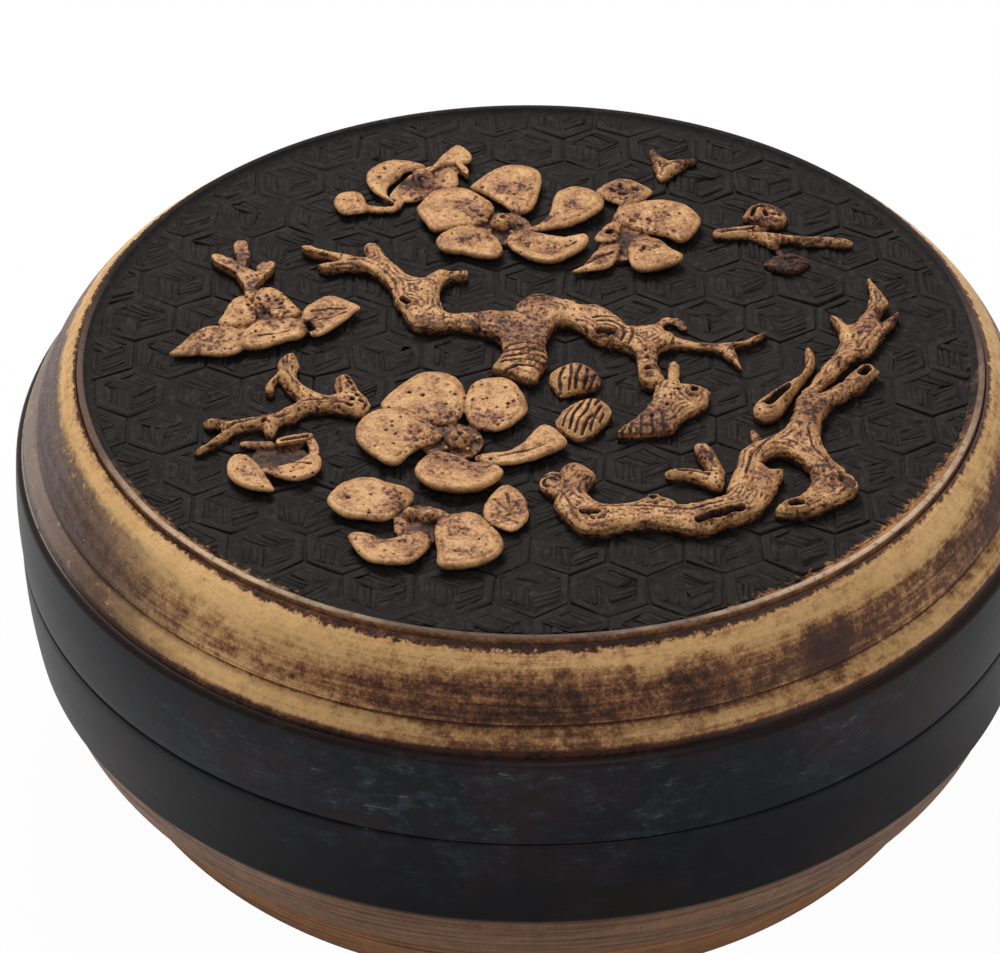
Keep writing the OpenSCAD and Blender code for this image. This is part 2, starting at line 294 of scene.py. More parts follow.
def radius_of(tree, place):
    """A place's distance from the box's axis."""
    flat = stretch(tree, place, (1, 1, 0))
    return put(tree, "ShaderNodeVectorMath", {0: flat}, operation="LENGTH").outputs["Value"]


def near(tree, place, centre, reach):
    """1 at a centre, fading to 0 at its reach, with a ragged edge."""
    gap = put(tree, "ShaderNodeVectorMath", {0: place, 1: centre}, operation="DISTANCE").outputs["Value"]
    ragged = total(tree, gap, product(tree, noise(tree, place, 0.5, 4.0), reach))
    return step(tree, ragged, reach * 1.4, reach * 0.6)


def new_group(name, inputs, outputs):
    """An empty node group with its named sockets; gives the tree, its inputs and its outputs."""
    tree = bpy.data.node_groups.new(name, "ShaderNodeTree")
    for label, kind in inputs:
        tree.interface.new_socket(label, in_out="INPUT", socket_type=kind)
    for label, kind in outputs:
        tree.interface.new_socket(label, in_out="OUTPUT", socket_type=kind)
    entry = tree.nodes.new("NodeGroupInput").outputs
    leave = tree.nodes.new("NodeGroupOutput").inputs
    return tree, entry, leave


def placed(tree, group, inputs):
    """A group's node in a tree, with its inputs fed."""
    return put(tree, "ShaderNodeGroup", inputs, node_tree=group).outputs


def new_material(name):
    """An empty material with a Principled shader; gives the material, its tree and the shader."""
    made = bpy.data.materials.new(name)
    made.use_nodes = True
    tree = made.node_tree
    return made, tree, tree.nodes["Principled BSDF"]


def emboss(tree, shader, height, relief_mm):
    """Bumps a shader's surface by a height from 0 to 1, as deep as the relief at most."""
    bump = put(tree, "ShaderNodeBump", {"Height": height, "Distance": relief_mm * MM})
    tree.links.new(bump.outputs["Normal"], shader.inputs["Normal"])


def finish_shader(tree, shader, outputs, relief_mm, gloss=0.5):
    """Feeds a Principled shader from a group's colour, roughness and height."""
    tree.links.new(outputs["Color"], shader.inputs["Base Color"])
    tree.links.new(outputs["Roughness"], shader.inputs["Roughness"])
    shader.inputs["Specular IOR Level"].default_value = gloss
    emboss(tree, shader, outputs["Height"], relief_mm)


# Camera, light and floor

def add_camera():
    """The photograph's view: level, from the front and above, with a long lens."""
    eye = Vector((-2.3, -272.9, 232.0)) * MM
    aim = Vector((-2.3, 0.0, 22.8)) * MM
    bpy.ops.object.camera_add(location=eye, rotation=(aim - eye).to_track_quat("-Z", "Y").to_euler())
    camera = bpy.context.object
    camera.data.lens = 161.43
    camera.data.sensor_width = 36
    camera.data.clip_start = 0.01
    bpy.context.scene.camera = camera


def add_lamp(name, place, aim, size, power):
    """A square soft box at a place in millimetres, facing its aim."""
    place, aim = Vector(place) * MM, Vector(aim) * MM
    turn = (aim - place).to_track_quat("-Z", "Y").to_euler()
    bpy.ops.object.light_add(type="AREA", location=place, rotation=turn)
    lamp = bpy.context.object
    lamp.name = name
    lamp.data.size = size * MM
    lamp.data.energy = power


def add_room():
    """White surroundings that light the box least from the front, and a plain pale floor."""
    scene = bpy.context.scene
    scene.view_settings.view_transform = "Standard"
    world = bpy.data.worlds.new("white_room")
    scene.world = world
    world.use_nodes = True
    tree = world.node_tree
    back = tree.nodes["Background"]
    _, depth, _ = axes_of(tree, put(tree, "ShaderNodeTexCoord", {}).outputs["Generated"])
    reach = {"Value": depth, "From Min": -0.9, "From Max": 0.3, "To Min": 0.12, "To Max": 0.38}
    light = put(tree, "ShaderNodeMapRange", reach).outputs["Result"]
    seen = put(tree, "ShaderNodeLightPath", {}).outputs["Is Camera Ray"]
    tree.links.new(lerp(tree, seen, light, 1.0), back.inputs["Strength"])
    back.inputs["Color"].default_value = (1, 1, 1, 1)

    bpy.ops.mesh.primitive_plane_add(size=4)
    floor = bpy.context.object
    floor.name = "floor"
    paper = bpy.data.materials.new("white_paper")
    paper.use_nodes = True
    tree = paper.node_tree
    seen = put(tree, "ShaderNodeLightPath", {}).outputs["Is Camera Ray"]
    share = put(tree, "ShaderNodeMapRange", {"Value": seen, "To Max": 0.97}).outputs["Result"]
    matt = put(tree, "ShaderNodeBsdfDiffuse", {"Color": (0.8, 0.8, 0.8, 1)}).outputs[0]
    glow = put(tree, "ShaderNodeEmission", {"Strength": 1.0}).outputs[0]
    paper_look = put(tree, "ShaderNodeMixShader", {0: share, 1: matt, 2: glow}).outputs[0]
    tree.links.new(paper_look, tree.nodes["Material Output"].inputs["Surface"])
    floor.data.materials.append(paper)


# Finishes that several materials share

FLOAT, COLOUR, VECTOR = "NodeSocketFloat", "NodeSocketColor", "NodeSocketVector"
FINISH = [("Color", COLOUR), ("Roughness", FLOAT), ("Height", FLOAT)]


def worn_gilt_group():
    """Gilding over brown lacquer: Wear 0 is whole gilding, 0.5 is rubbed thin, 1 is bare and dark."""
    tree, entry, leave = new_group("worn_gilt", [("Place", VECTOR), ("Wear", FLOAT)], FINISH)
    place = entry["Place"]
    blotch = noise(tree, place, 0.7, 5.0, 0.65)
    grain = noise(tree, place, 4.5, 4.0, 0.7)
    loss = total(tree, entry["Wear"], swing(tree, blotch, 1.1), swing(tree, grain, 1.1))
    colour = shades(tree, maths(tree, "DIVIDE", loss, 1.6), [
        (0.0, (228, 182, 122)), (0.16, (208, 160, 106)), (0.28, (180, 130, 84)), (0.42, (138, 92, 62)),
        (0.55, (98, 62, 44)), (0.72, (60, 38, 30)), (1.0, (24, 17, 15))])
    tree.links.new(colour, leave["Color"])
    bare = step(tree, loss, 0.3, 0.8)
    tree.links.new(lerp(tree, bare, 0.48, 0.62), leave["Roughness"])
    tree.links.new(total(tree, grain, product(tree, bare, -0.5)), leave["Height"])
    return tree


def black_lacquer_group():
    """Old black lacquer: brownish where thin, with faint turning lines and blue-grey scuffs by Scuff."""
    tree, entry, leave = new_group("black_lacquer", [("Place", VECTOR), ("Scuff", FLOAT)], FINISH)
    place = entry["Place"]
    thin = step(tree, noise(tree, place, 0.09, 4.0), 0.42, 0.62)
    body = mix(tree, thin, tint(17, 20, 27), tint(38, 25, 26))
    lines = noise(tree, stretch(tree, place, (0.08, 0.08, 3.6)), 1.0, 5.0, 0.7)
    body = mix(tree, product(tree, step(tree, lines, 0.52, 0.78), 0.4), body, tint(52, 47, 49))
    haze = step(tree, noise(tree, stretch(tree, place, (1, 1, 1.6)), 0.4, 6.0, 0.75), 0.44, 0.72)
    haze = product(tree, haze, entry["Scuff"])
    body = mix(tree, product(tree, haze, 0.7), body, tint(60, 70, 82))
    scratch = noise(tree, stretch(tree, place, (0.6, 0.6, 9.0)), 1.0, 3.0, 0.6)
    marks = product(tree, step(tree, scratch, 0.56, 0.7), step(tree, haze, 0.1, 0.6), 0.7)
    body = mix(tree, marks, body, tint(122, 132, 140))
    tree.links.new(body, leave["Color"])
    dull = total(tree, product(tree, haze, 0.12), 0.34, product(tree, lines, 0.14))
    tree.links.new(dull, leave["Roughness"])
    tree.links.new(lines, leave["Height"])
    return tree


def streaks(tree, place, fineness):
    """Streaks that run round a turned piece, as a value about 0.5."""
    return noise(tree, stretch(tree, place, (0.07, 0.07, fineness)), 1.0, 4.0, 0.65)


# Materials

def lid_wear_and_shade(tree, place, x, height, uneven_height):
    """How far the lid's gilding is darkened: worn by moulding, in streaks and at the frayed lip, which
    painted shade of the gap beside the panel darkens too; darker at the bead's foot and in the groove;
    lighter or darker in patches.
    """
    span = shoulder_top_z - wall_top_z
    exact = maths(tree, "DIVIDE", maths(tree, "SUBTRACT", height, wall_top_z), span)
    level = maths(tree, "DIVIDE", maths(tree, "SUBTRACT", uneven_height, wall_top_z), span)
    zones = levels(tree, level, [(0.0, 0.5), (0.1, 0.3), (0.22, 0.26), (0.31, 0.66), (0.45, 0.76),
                                 (0.62, 0.66), (0.74, 0.42), (0.84, 0.1), (0.95, 0.1), (1.0, 0.2)])
    # Darker at the foot of the bead and in the groove
    creases = levels(tree, exact, [(0.0, 0.9), (0.07, 0.7), (0.11, 0.0), (0.25, 0.0), (0.285, 0.7),
                                   (0.315, 0.0), (1.0, 0.0)])
    fray = total(tree, radius_of(tree, place), swing(tree, noise(tree, place, 1.4, 5.0, 0.75), 1.5),
                 product(tree, step(tree, x, -16.0, -30.0), 0.4),
                 product(tree, step(tree, x, 12.0, 28.0), 0.25))
    # Frayed edge of the gilding at the lip, darkened towards the panel also as painted shade of the gap
    # there
    lip = step(tree, fray, shoulder_top_r + 0.5, shoulder_top_r + 0.2)
    wear_and_shade = total(tree, zones, creases, lip, swing(tree, streaks(tree, place, 3.2), 1.1),
                 swing(tree, noise(tree, place, 1.5, 5.0, 0.7), 1.2))
    for centre, reach, amount in [((20.5, -30.0, 31.0), 3.6, 0.55), ((10.9, -34.0, 30.6), 4.0, 0.4),
                                  ((0.0, -37.5, 29.0), 13.0, 0.26), ((-18.0, -31.0, 30.5), 12.0, -0.3),
                                  ((31.0, -23.0, 28.4), 15.0, -0.3), ((-27.0, -27.0, 30.5), 11.0, -0.3)]:
        wear_and_shade = total(tree, wear_and_shade, product(tree, near(tree, place, centre, reach), amount))
    far_right = product(tree, near(tree, place, (35.0, -14.0, 31.0), 26.0),
                        step(tree, uneven_height, groove_z + 3.6, groove_z + 2.8))
    return total(tree, wear_and_shade, product(tree, far_right, 0.28))


def rubbed_taupe_and_sheen(tree, place, x, height, flecks):
    """The grey brown under the lid's gilding where its left side is rubbed, with a painted sheen that makes
    it greyest at the far left.
    """
    # Painted sheen: greyer and paler towards the far left, palest low on the bead there
    far_left = step(tree, x, -31.0, -37.0)
    dim = mix(tree, far_left, tint(90, 69, 60), tint(94, 83, 84))
    pale = mix(tree, far_left, tint(126, 102, 90), tint(124, 112, 111))
    streaky = total(tree, streaks(tree, place, 1.4), swing(tree, flecks, -1.2))
    taupe = mix(tree, step(tree, streaky, 0.3, 0.7), dim, pale)
    low = step(tree, height, groove_z + 1.0, wall_top_z + 0.4)
    return mix(tree, low, taupe, mix(tree, far_left, tint(84, 60, 52), tint(154, 139, 132)))


def lid_gilt_material(gilt):
    """Lid mouldings: gilt on the bead and the upper shoulder, rubbed brown between, dark in the grooves,
    with a painted highlight at the front left and right, and a painted sheen on the grey brown at the left.
    """
    made, tree, shader = new_material("lid_gilt")
    place = millimetres(tree)
    x, _, height = axes_of(tree, place)
    wobble = swing(tree, noise(tree, place, 0.8, 6.0, 0.75), 1.5)
    uneven_height = total(tree, height, wobble)
    wear_and_shade = lid_wear_and_shade(tree, place, x, height, uneven_height)
    outputs = placed(tree, gilt, {"Place": place, "Wear": wear_and_shade})
    finish_shader(tree, shader, outputs, 0.05, 0.3)

    # Pale gold on whole gilding, at 0.6 everywhere and full at the front left and at the right, where it is
    # a painted highlight; less metallic there
    highlight_zone = maths(tree, "MAXIMUM", near(tree, place, (-22.0, -26.0, 31.0), 20.0), 0.6)
    highlight_zone = maths(tree, "MAXIMUM", highlight_zone, near(tree, place, (31.0, -22.0, 30.0), 24.0))
    pale_gold_and_highlight = product(tree, highlight_zone, step(tree, wear_and_shade, 0.55, -0.45),
                     step(tree, noise(tree, place, 3.2, 5.0, 0.75), 0.72, 0.44))
    colour = mix(tree, pale_gold_and_highlight, outputs["Color"], tint(255, 205, 140))
    tree.links.new(product(tree, maths(tree, "SUBTRACT", 1.0, pale_gold_and_highlight), 0.2), shader.inputs["Metallic"])

    mauve = product(tree, step(tree, x, 6.0, 22.0), step(tree, wear_and_shade, 0.45, 0.8), 0.5)
    colour = mix(tree, mauve, colour, tint(100, 75, 66))
    # Grey brown at the left of the shoulder: rubbed gilding, with a painted sheen
    left = step(tree, total(tree, x, product(tree, wobble, 3.0)), -23.0, -33.0)
    flecks = noise(tree, place, 1.2, 6.0, 0.75)
    rubbed = product(tree, left, step(tree, uneven_height, groove_z + 4.15, groove_z + 3.65),
                     step(tree, flecks, 0.68, 0.54), 0.92)
    colour = mix(tree, rubbed, colour, rubbed_taupe_and_sheen(tree, place, x, height, flecks))
    red = maths(tree, "MAXIMUM", product(tree, near(tree, place, (-28.0, -26.0, 28.2), 8.0), 0.6),
                near(tree, place, (0.0, -38.5, 27.6), 19.0))
    red = product(tree, red, step(tree, height, groove_z + 0.8, bead_z),
                  step(tree, noise(tree, place, 0.9, 6.0, 0.75), 0.4, 0.58), 0.85)
    tree.links.new(mix(tree, red, colour, tint(82, 42, 26)), shader.inputs["Base Color"])
    return made


def wall_material(lacquer):
    """Black wall of lid and bowl: scuffed most at the front left of the middle, darkest below the seam."""
    made, tree, shader = new_material("black_wall")
    place = millimetres(tree)
    _, _, height = axes_of(tree, place)
    scuff = product(tree, noise(tree, place, 0.06, 3.0), 0.35)
    for centre, reach, amount in [((-7.5, -38.0, 23.5), 13.0, 1.0), ((8.0, -38.0, 23.5), 11.0, 0.7),
                                  ((22.0, -32.0, 25.0), 10.0, 0.6), ((-20.0, -33.0, 23.0), 12.0, 0.5)]:
        scuff = total(tree, scuff, product(tree, near(tree, place, centre, reach), amount))
    outputs = placed(tree, lacquer, {"Place": place, "Scuff": scuff})
    finish_shader(tree, shader, outputs, 0.02, 0.2)
    below = product(tree, step(tree, height, seam_z + 0.2, seam_z - 0.4), 0.45)
    colour = mix(tree, below, outputs["Color"], tint(10, 8, 11))
    edge = product(tree, step(tree, height, wall_top_z - 1.0, wall_top_z), 0.7)
    tree.links.new(mix(tree, edge, colour, tint(44, 27, 22)), shader.inputs["Base Color"])
    return made


def inside_material(lacquer):
    """Plain black lacquer inside the box, under it and on the collar."""
    made, tree, shader = new_material("black_inside")
    outputs = placed(tree, lacquer, {"Place": millimetres(tree), "Scuff": 0.15})
    finish_shader(tree, shader, outputs, 0.015, 0.3)
    return made


def foot_material(gilt):
    """Lower moulding and foot: streaky taupe, orange tan towards the table, paler at the sides, and darker
    along its lowest edge as a painted shadow.
    """
    made, tree, shader = new_material("foot_brown")
    place = millimetres(tree)
    x, _, height = axes_of(tree, place)
    across = maths(tree, "ABSOLUTE", x)
    grain = streaks(tree, place, 3.4)
    edge = step(tree, height, wall_bottom_z - 1.1, wall_bottom_z)
    # Darker along the foot's lowest edge as a painted shadow, and just under the black wall
    wear_and_shade = total(tree, product(tree, grain, 1.1), product(tree, step(tree, height, 0.9, 0.2), 0.8),
                 product(tree, edge, 0.6))
    outputs = placed(tree, gilt, {"Place": place, "Wear": wear_and_shade})
    finish_shader(tree, shader, outputs, 0.04, 0.4)
    upper = mix(tree, step(tree, across, 12.0, 28.0), tint(150, 116, 96), tint(182, 154, 138))
    warm = mix(tree, step(tree, height, 8.5, 3.5), upper, tint(208, 144, 92))
    warm = mix(tree, step(tree, grain, 0.42, 0.7), warm, tint(98, 70, 54))
    warm = mix(tree, product(tree, edge, 0.8), warm, tint(40, 29, 26))
    tree.links.new(mix(tree, 0.7, outputs["Color"], warm), shader.inputs["Base Color"])
    return made


def panel_material(gilt):
    """Carved ground: dull black, with a painted sheen greyer on the tops, gilding left on the rim's near
    side, and a painted highlight along the rim's crest there.
    """
    made, tree, shader = new_material("black_ground")
    place = millimetres(tree)
    _, y, height = axes_of(tree, place)
    radius = radius_of(tree, place)
    # Painted sheen: the cell tops mottled greyer than the grooves
    top = step(tree, height, ground_z - cell_depth, ground_z + 0.04)
    top_tone_and_sheen = mix(tree, noise(tree, place, 0.3, 5.0, 0.7), tint(35, 31, 29), tint(48, 43, 41))
    colour = mix(tree, top, tint(34, 30, 28), top_tone_and_sheen)
    colour = mix(tree, step(tree, noise(tree, place, 1.6, 5.0, 0.65), 0.5, 0.75), colour, tint(62, 56, 53))
    left = near(tree, place, (-23.0, -25.0, ground_z), 20.0)
    right = near(tree, place, (26.0, -23.0, ground_z), 30.0)
    gilded = maths(tree, "MAXIMUM", left, right)
    highlight_side = step(tree, y, 12.0, -4.0)
    mottle = noise(tree, place, 1.8, 6.0, 0.75)
    reach = total(tree, radius, swing(tree, mottle, 3.0), product(tree, left, 0.5),
                  product(tree, right, 0.8))
    slope = step(tree, reach, panel_r - 0.8, panel_r - 0.2)
    outer = step(tree, radius, panel_r - 0.07, panel_r - 0.01)
    finish = placed(tree, gilt, {"Place": place, "Wear": total(tree, product(tree, outer, 0.15), 0.5)})
    colour = mix(tree, product(tree, slope, gilded), colour, finish["Color"])
    # Painted highlight: a pale line along the rim's crest on the near side, gold where the rim keeps
    # gilding
    crest = product(tree, step(tree, radius, panel_r - 0.55, panel_r - 0.4), highlight_side)
    pale = mix(tree, gilded, tint(108, 86, 76), tint(204, 174, 146))
    pale = mix(tree, step(tree, mottle, 0.5, 0.75), pale, tint(62, 48, 42))
    colour = mix(tree, crest, colour, mix(tree, outer, pale, finish["Color"]))
    tree.links.new(colour, shader.inputs["Base Color"])
    shader.inputs["Roughness"].default_value = 0.72
    shader.inputs["Specular IOR Level"].default_value = 0.12
    emboss(tree, shader, noise(tree, place, 1.8, 6.0, 0.65), 0.12)
    return made


def carving_material(name, gilt):
    """Gilt carving: gilding rubbed in specks, darker in its recesses and at its foot as painted shade over
    rubbed gilding, and lighter on its ridges as a painted highlight where the gilding is whole.
    """
    made, tree, shader = new_material(name)
    place = millimetres(tree)
    hollow = put(tree, "ShaderNodeAttribute", {}, attribute_name="hollow").outputs["Fac"]
    # Painted shade in recesses and at the foot, partly rubbed gilding, and a painted highlight on ridges
    # where the value is below 0
    deep = maths(tree, "MAXIMUM", hollow, 0.0)
    edge = step(tree, hollow, -0.1, -0.8)
    specks = step(tree, noise(tree, place, 2.2, 3.0, 0.6), 0.5, 0.6)
    share = total(tree, product(tree, step(tree, hollow, 0.04, 0.22), 0.42), 0.1)
    all_over = 0.34
    wear_and_shade = total(tree, all_over, product(tree, deep, 0.95), product(tree, specks, share),
                 product(tree, edge, -all_over))
    outputs = placed(tree, gilt, {"Place": place, "Wear": wear_and_shade})
    finish_shader(tree, shader, outputs, 0.06, 0.3)
    shader.inputs["Metallic"].default_value = 0.1
    return made


# Modelling helpers

def only(*pieces):
    """Selects these objects and nothing else."""
    bpy.ops.object.select_all(action="DESELECT")
    for piece in pieces:
        piece.select_set(True)
    bpy.context.view_layer.objects.active = pieces[0]


def apply_all(piece):
    """Applies the object's modifiers in order."""
    only(piece)
    for name in [modifier.name for modifier in piece.modifiers]:
        bpy.ops.object.modifier_apply(modifier=name)


def pick_faces(piece, test):
    """In edit mode, selects the faces that pass a test."""
    bpy.ops.mesh.select_mode(type="FACE")
    bpy.ops.mesh.select_all(action="DESELECT")
    bpy.ops.object.mode_set(mode="OBJECT")
    for face in piece.data.polygons:
        face.select = test(face)
    bpy.ops.object.mode_set(mode="EDIT")


def pick_edges(piece, test):
    """In edit mode, selects the edges whose two ends pass a test."""
    bpy.ops.mesh.select_mode(type="EDGE")
    bpy.ops.mesh.select_all(action="DESELECT")
    bpy.ops.object.mode_set(mode="OBJECT")
    points = piece.data.vertices
    for edge in piece.data.edges:
        edge.select = test(points[edge.vertices[0]].co, points[edge.vertices[1]].co)
    bpy.ops.object.mode_set(mode="EDIT")


def chain(points):
    """A new object of vertices joined in a row, left in edit mode."""
    bpy.ops.object.select_all(action="DESELECT")
    bpy.ops.mesh.primitive_plane_add(size=1)
    bpy.ops.object.mode_set(mode="EDIT")
    bpy.ops.mesh.select_mode(type="VERT")
    bpy.ops.mesh.select_all(action="SELECT")
    bpy.ops.mesh.merge(type="CENTER")
    bpy.ops.transform.translate(value=points[0])
    for here, there in zip(points, points[1:]):
        way = tuple(b - a for a, b in zip(here, there))
        bpy.ops.mesh.extrude_region_move(TRANSFORM_OT_translate={"value": way})
    return bpy.context.object


def bow(start, end, sag, steps=8):
    """Points of a shallow arc that stands off its chord by sag, on the right on the way to its end."""
    start, end = Vector(start), Vector(end)
    chord = (end - start).length
    along = (end - start) / chord
    side = Vector((along.y, -along.x))
    radius = (chord * chord / 4 + sag * sag) / (2 * sag)
    half = math.asin(max(-1.0, min(1.0, chord / 2 / radius)))
    middle = (start + end) / 2 + side * (sag - radius)
    turns = [half * (2 * i / steps - 1) for i in range(steps + 1)]
    return [middle + radius * (side * math.cos(turn) + along * math.sin(turn)) for turn in turns]


def turned(name, outline):
    """Draws half a section as a chain of (radius, height) points and spins it round the box's axis."""
    piece = chain([(point[0], 0, point[1]) for point in outline])
    piece.name = name
    bpy.ops.mesh.select_all(action="SELECT")
    bpy.ops.mesh.spin(steps=turn_steps, angle=2 * math.pi, center=(0, 0, 0), axis=(0, 0, 1))
    bpy.ops.mesh.select_all(action="SELECT")
    bpy.ops.mesh.remove_doubles(threshold=merge_gap)
    bpy.ops.mesh.normals_make_consistent(inside=False)
    bpy.ops.object.mode_set(mode="OBJECT")
    return piece


def paint(piece, materials, chosen):
    """Gives the piece its materials, and each face the one whose number chosen(face) says."""
    for material in materials:
        piece.data.materials.append(material)
    for face in piece.data.polygons:
        face.material_index = chosen(face)


def smooth_turning(piece, crisp=38):
    """Smooth shading that keeps edges crisp that turn by more than an angle in degrees."""
    only(piece)
    bpy.ops.object.shade_smooth_by_angle(angle=math.radians(crisp))


def clouds(name, scale, kind="GRAYSCALE"):
    """A cloudy texture, so many millimetres in scale, that makes a surface as uneven as hand work."""
    texture = bpy.data.textures.new(name, "CLOUDS")
    texture.noise_scale = scale
    texture.cloud_type = kind
    return texture


hand_marks = clouds("hand_marks", 1.1)
bark_grain = clouds("bark", 0.4)
hand_cut = clouds("hand_cut", 1.0, "COLOR")
branch_uneven = [(hand_marks, 0.3), (bark_grain, 0.16)]
twig_uneven = [(hand_marks, 0.2), (bark_grain, 0.12)]
petal_uneven = [(hand_marks, 0.14)]


def settle(piece, body, node):
    """Brings a finished piece to metres, ties it to its body, and hides the frame's part for its node."""
    only(piece)
    piece.scale = (MM, MM, MM)
    bpy.ops.object.transform_apply(location=True, rotation=True, scale=True)
    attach(piece, body)
    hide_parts(node)


# Turned pieces

def make_foot(brown, inside):
    """Foot ring: a bulging outside and a plain inside that sits round the bowl's spigot."""
    foot = turned("turned_foot", [
        (foot_in_r, foot_in_edge), (foot_in_r + foot_in_edge, 0), (foot_bottom_r - foot_out_edge, 0),
        *bow((foot_bottom_r, foot_out_edge), (foot_top_r, foot_h), foot_bulge, 14),
        (foot_in_r, foot_h), (foot_in_r, foot_in_edge)])
    paint(foot, [brown, inside], lambda face: int(face.center.xy.length < foot_in_r + foot_in_edge))
    smooth_turning(foot)
    settle(foot, "body", "foot_ring")


def make_bowl(wall, brown, inside):
    """Bowl: a spigot, the brown moulding, the lower black wall, the collar's seat and a coved floor."""
    bowl = turned("turned_bowl", [
        (0, foot_hollow_z), (spigot_r, foot_hollow_z), (spigot_r, foot_h),
        *bow((moulding_foot_r, foot_h), (moulding_top_r, wall_bottom_z), moulding_bulge, 14),
        *bow((bowl_edge_r - wall_round, wall_bottom_z), (bowl_edge_r, wall_bottom_z + wall_round),
             wall_round * quarter_sag, 6),
        *bow((bowl_edge_r, wall_bottom_z + wall_round), (wall_r, seam_z - seam_chamfer),
             wall_swell, 10)[1:],
        *bow((wall_r, seam_z - seam_chamfer), (wall_r - seam_chamfer, seam_z - seam_gap),
             seam_chamfer * quarter_sag, 3)[1:],
        (collar_seat_r, seam_z - seam_gap), (collar_seat_r, collar_seat_z), (collar_in_r, collar_seat_z),
        *bow((collar_in_r, floor_z + bowl_cove_r), (collar_in_r - bowl_cove_r, floor_z),
             -bowl_cove_r * quarter_sag, 8),
        (0, floor_z)])

    def finish(face):
        radius = face.center.xy.length
        if face.center.z > wall_bottom_z - pick_slack and radius > moulding_top_r - pick_slack:
            return 0
        if foot_h < face.center.z < wall_bottom_z and radius > moulding_foot_r - pick_slack:
            return 1
        return 2

    paint(bowl, [wall, brown, inside], finish)
    smooth_turning(bowl)
    settle(bowl, "body", "body_bowl")


def make_collar(inside):
    """Standing collar that the lid slips over, rounded at its top."""
    collar = turned("inner_collar", [
        (collar_in_r, collar_seat_z), (collar_r, collar_seat_z),
        *bow((collar_r, collar_top_z - collar_round), (collar_r - collar_round, collar_top_z),
             collar_round * quarter_sag, 5),
        *bow((collar_in_r + collar_round, collar_top_z), (collar_in_r, collar_top_z - collar_round),
             collar_round * quarter_sag, 5),
        (collar_in_r, collar_seat_z)])
    paint(collar, [inside], lambda face: 0)
    smooth_turning(collar)
    settle(collar, "body", "inner_rim")


def make_lid(wall, gilt, inside):
    """Lid: the upper black wall, bead, groove and shoulder, the panel's recess and a coved ceiling."""
    lid = turned("turned_lid", [
        (lid_in_r, seam_z + seam_gap),
        *bow((wall_r - seam_chamfer, seam_z + seam_gap), (wall_r, seam_z + seam_chamfer),
             seam_chamfer * quarter_sag, 3),
        *bow((wall_r, seam_z + seam_chamfer), (wall_r, wall_top_z - wall_round), wall_swell, 10)[1:],
        *bow((wall_r, wall_top_z - wall_round), (bead_r, wall_top_z), wall_round * quarter_sag, 6)[1:],
        *bow((bead_r, bead_z), (groove_r, groove_z - groove_depth), bead_bulge, 10),
        (groove_r - groove_depth, groove_z),
        *bow((groove_r, groove_z + groove_depth), (shoulder_top_r, shoulder_top_z), shoulder_bulge, 24),
        *bow((shoulder_top_r - lip_flat, shoulder_top_z - lip_drop),
             (recess_r, shoulder_top_z - shoulder_lip), lip_bulge, 4),
        (recess_r, recess_z), (0, recess_z), (0, lid_ceiling_z),
        *bow((lid_in_r - lid_cove_r, lid_ceiling_z), (lid_in_r, lid_ceiling_z - lid_cove_r),
             -lid_cove_r * quarter_sag, 8),
        (lid_in_r, seam_z + seam_gap)])

    def finish(face):
        radius = face.center.xy.length
        if radius < recess_r + lip_dark or radius < lid_in_r + pick_slack and face.center.z < groove_z:
            return 2
        return 0 if face.center.z < wall_top_z - pick_slack else 1

    paint(lid, [wall, gilt, inside], finish)
    smooth_turning(lid)
    settle(lid, "lid", "lid_ring")


# Panel with its hexagon diaper

def is_top(face):
    return face.normal.z > 0.9


def ground_cell():
    """One cell of the diaper: a frame, a groove, and three lozenges of short bars."""
    across = (cell_pitch - cell_gap) / 2
    bpy.ops.object.select_all(action="DESELECT")
    bpy.ops.mesh.primitive_cylinder_add(vertices=6, radius=across / math.cos(math.pi / 6), depth=cell_t,
                                        location=(0, 0, -cell_t / 2))
    cell = bpy.context.object
    bpy.ops.object.transform_apply(location=True)
    bpy.ops.object.mode_set(mode="EDIT")
    pick_faces(cell, is_top)
    for inset, lift in [(cell_frame_w, 0), (cell_groove_w / 2, -cell_depth / 2),
                        (cell_groove_w / 2, cell_depth / 2)]:
        bpy.ops.mesh.inset(thickness=inset)
        bpy.ops.transform.translate(value=(0, 0, lift))
    bpy.ops.mesh.poke()

    def spoke(a, b):
        """Every second edge from the middle, so that three lozenges stay."""
        inner, outer = sorted((a, b), key=lambda point: point.xy.length)
        if inner.xy.length > cell_middle or outer.xy.length < cell_middle:
            return False
        return round(math.degrees(math.atan2(outer.y, outer.x))) % 120 == 90

    pick_edges(cell, spoke)
    bpy.ops.mesh.dissolve_edges()
    inner_r = across - cell_frame_w - cell_groove_w
    pick_faces(cell, lambda face: is_top(face) and face.center.xy.length < inner_r * 0.8)
    bpy.ops.mesh.inset(thickness=lozenge_gap, use_individual=True)
    bpy.ops.transform.translate(value=(0, 0, -bar_depth))

    def cut_across(a, b):
        """The edges of the sunk lozenges that run along one of the lozenge's two ways."""
        if abs(a.z + bar_depth) > pick_slack or abs(b.z + bar_depth) > pick_slack:
            return False
        middle = (a.xy + b.xy) / 2
        turn = math.degrees(math.atan2(middle.y, middle.x))
        along = math.radians(90 + 120 * math.floor((turn + 90) / 120))
        way = (b.xy - a.xy).normalized()
        return abs(way.dot(Vector((math.cos(along), math.sin(along))))) > 0.95

    pick_edges(cell, cut_across)
    bpy.ops.mesh.subdivide(number_cuts=bar_cuts)
    pick_faces(cell, lambda face: is_top(face) and abs(face.center.z + bar_depth) < pick_slack)
    bpy.ops.mesh.inset(thickness=bar_gap, depth=bar_depth, use_individual=True)
    bpy.ops.object.mode_set(mode="OBJECT")
    soft = cell.modifiers.new("soft_edges", "BEVEL")
    soft.width = cell_soft
    soft.segments = 1
    soft.limit_method = "ANGLE"
    apply_all(cell)
    return cell


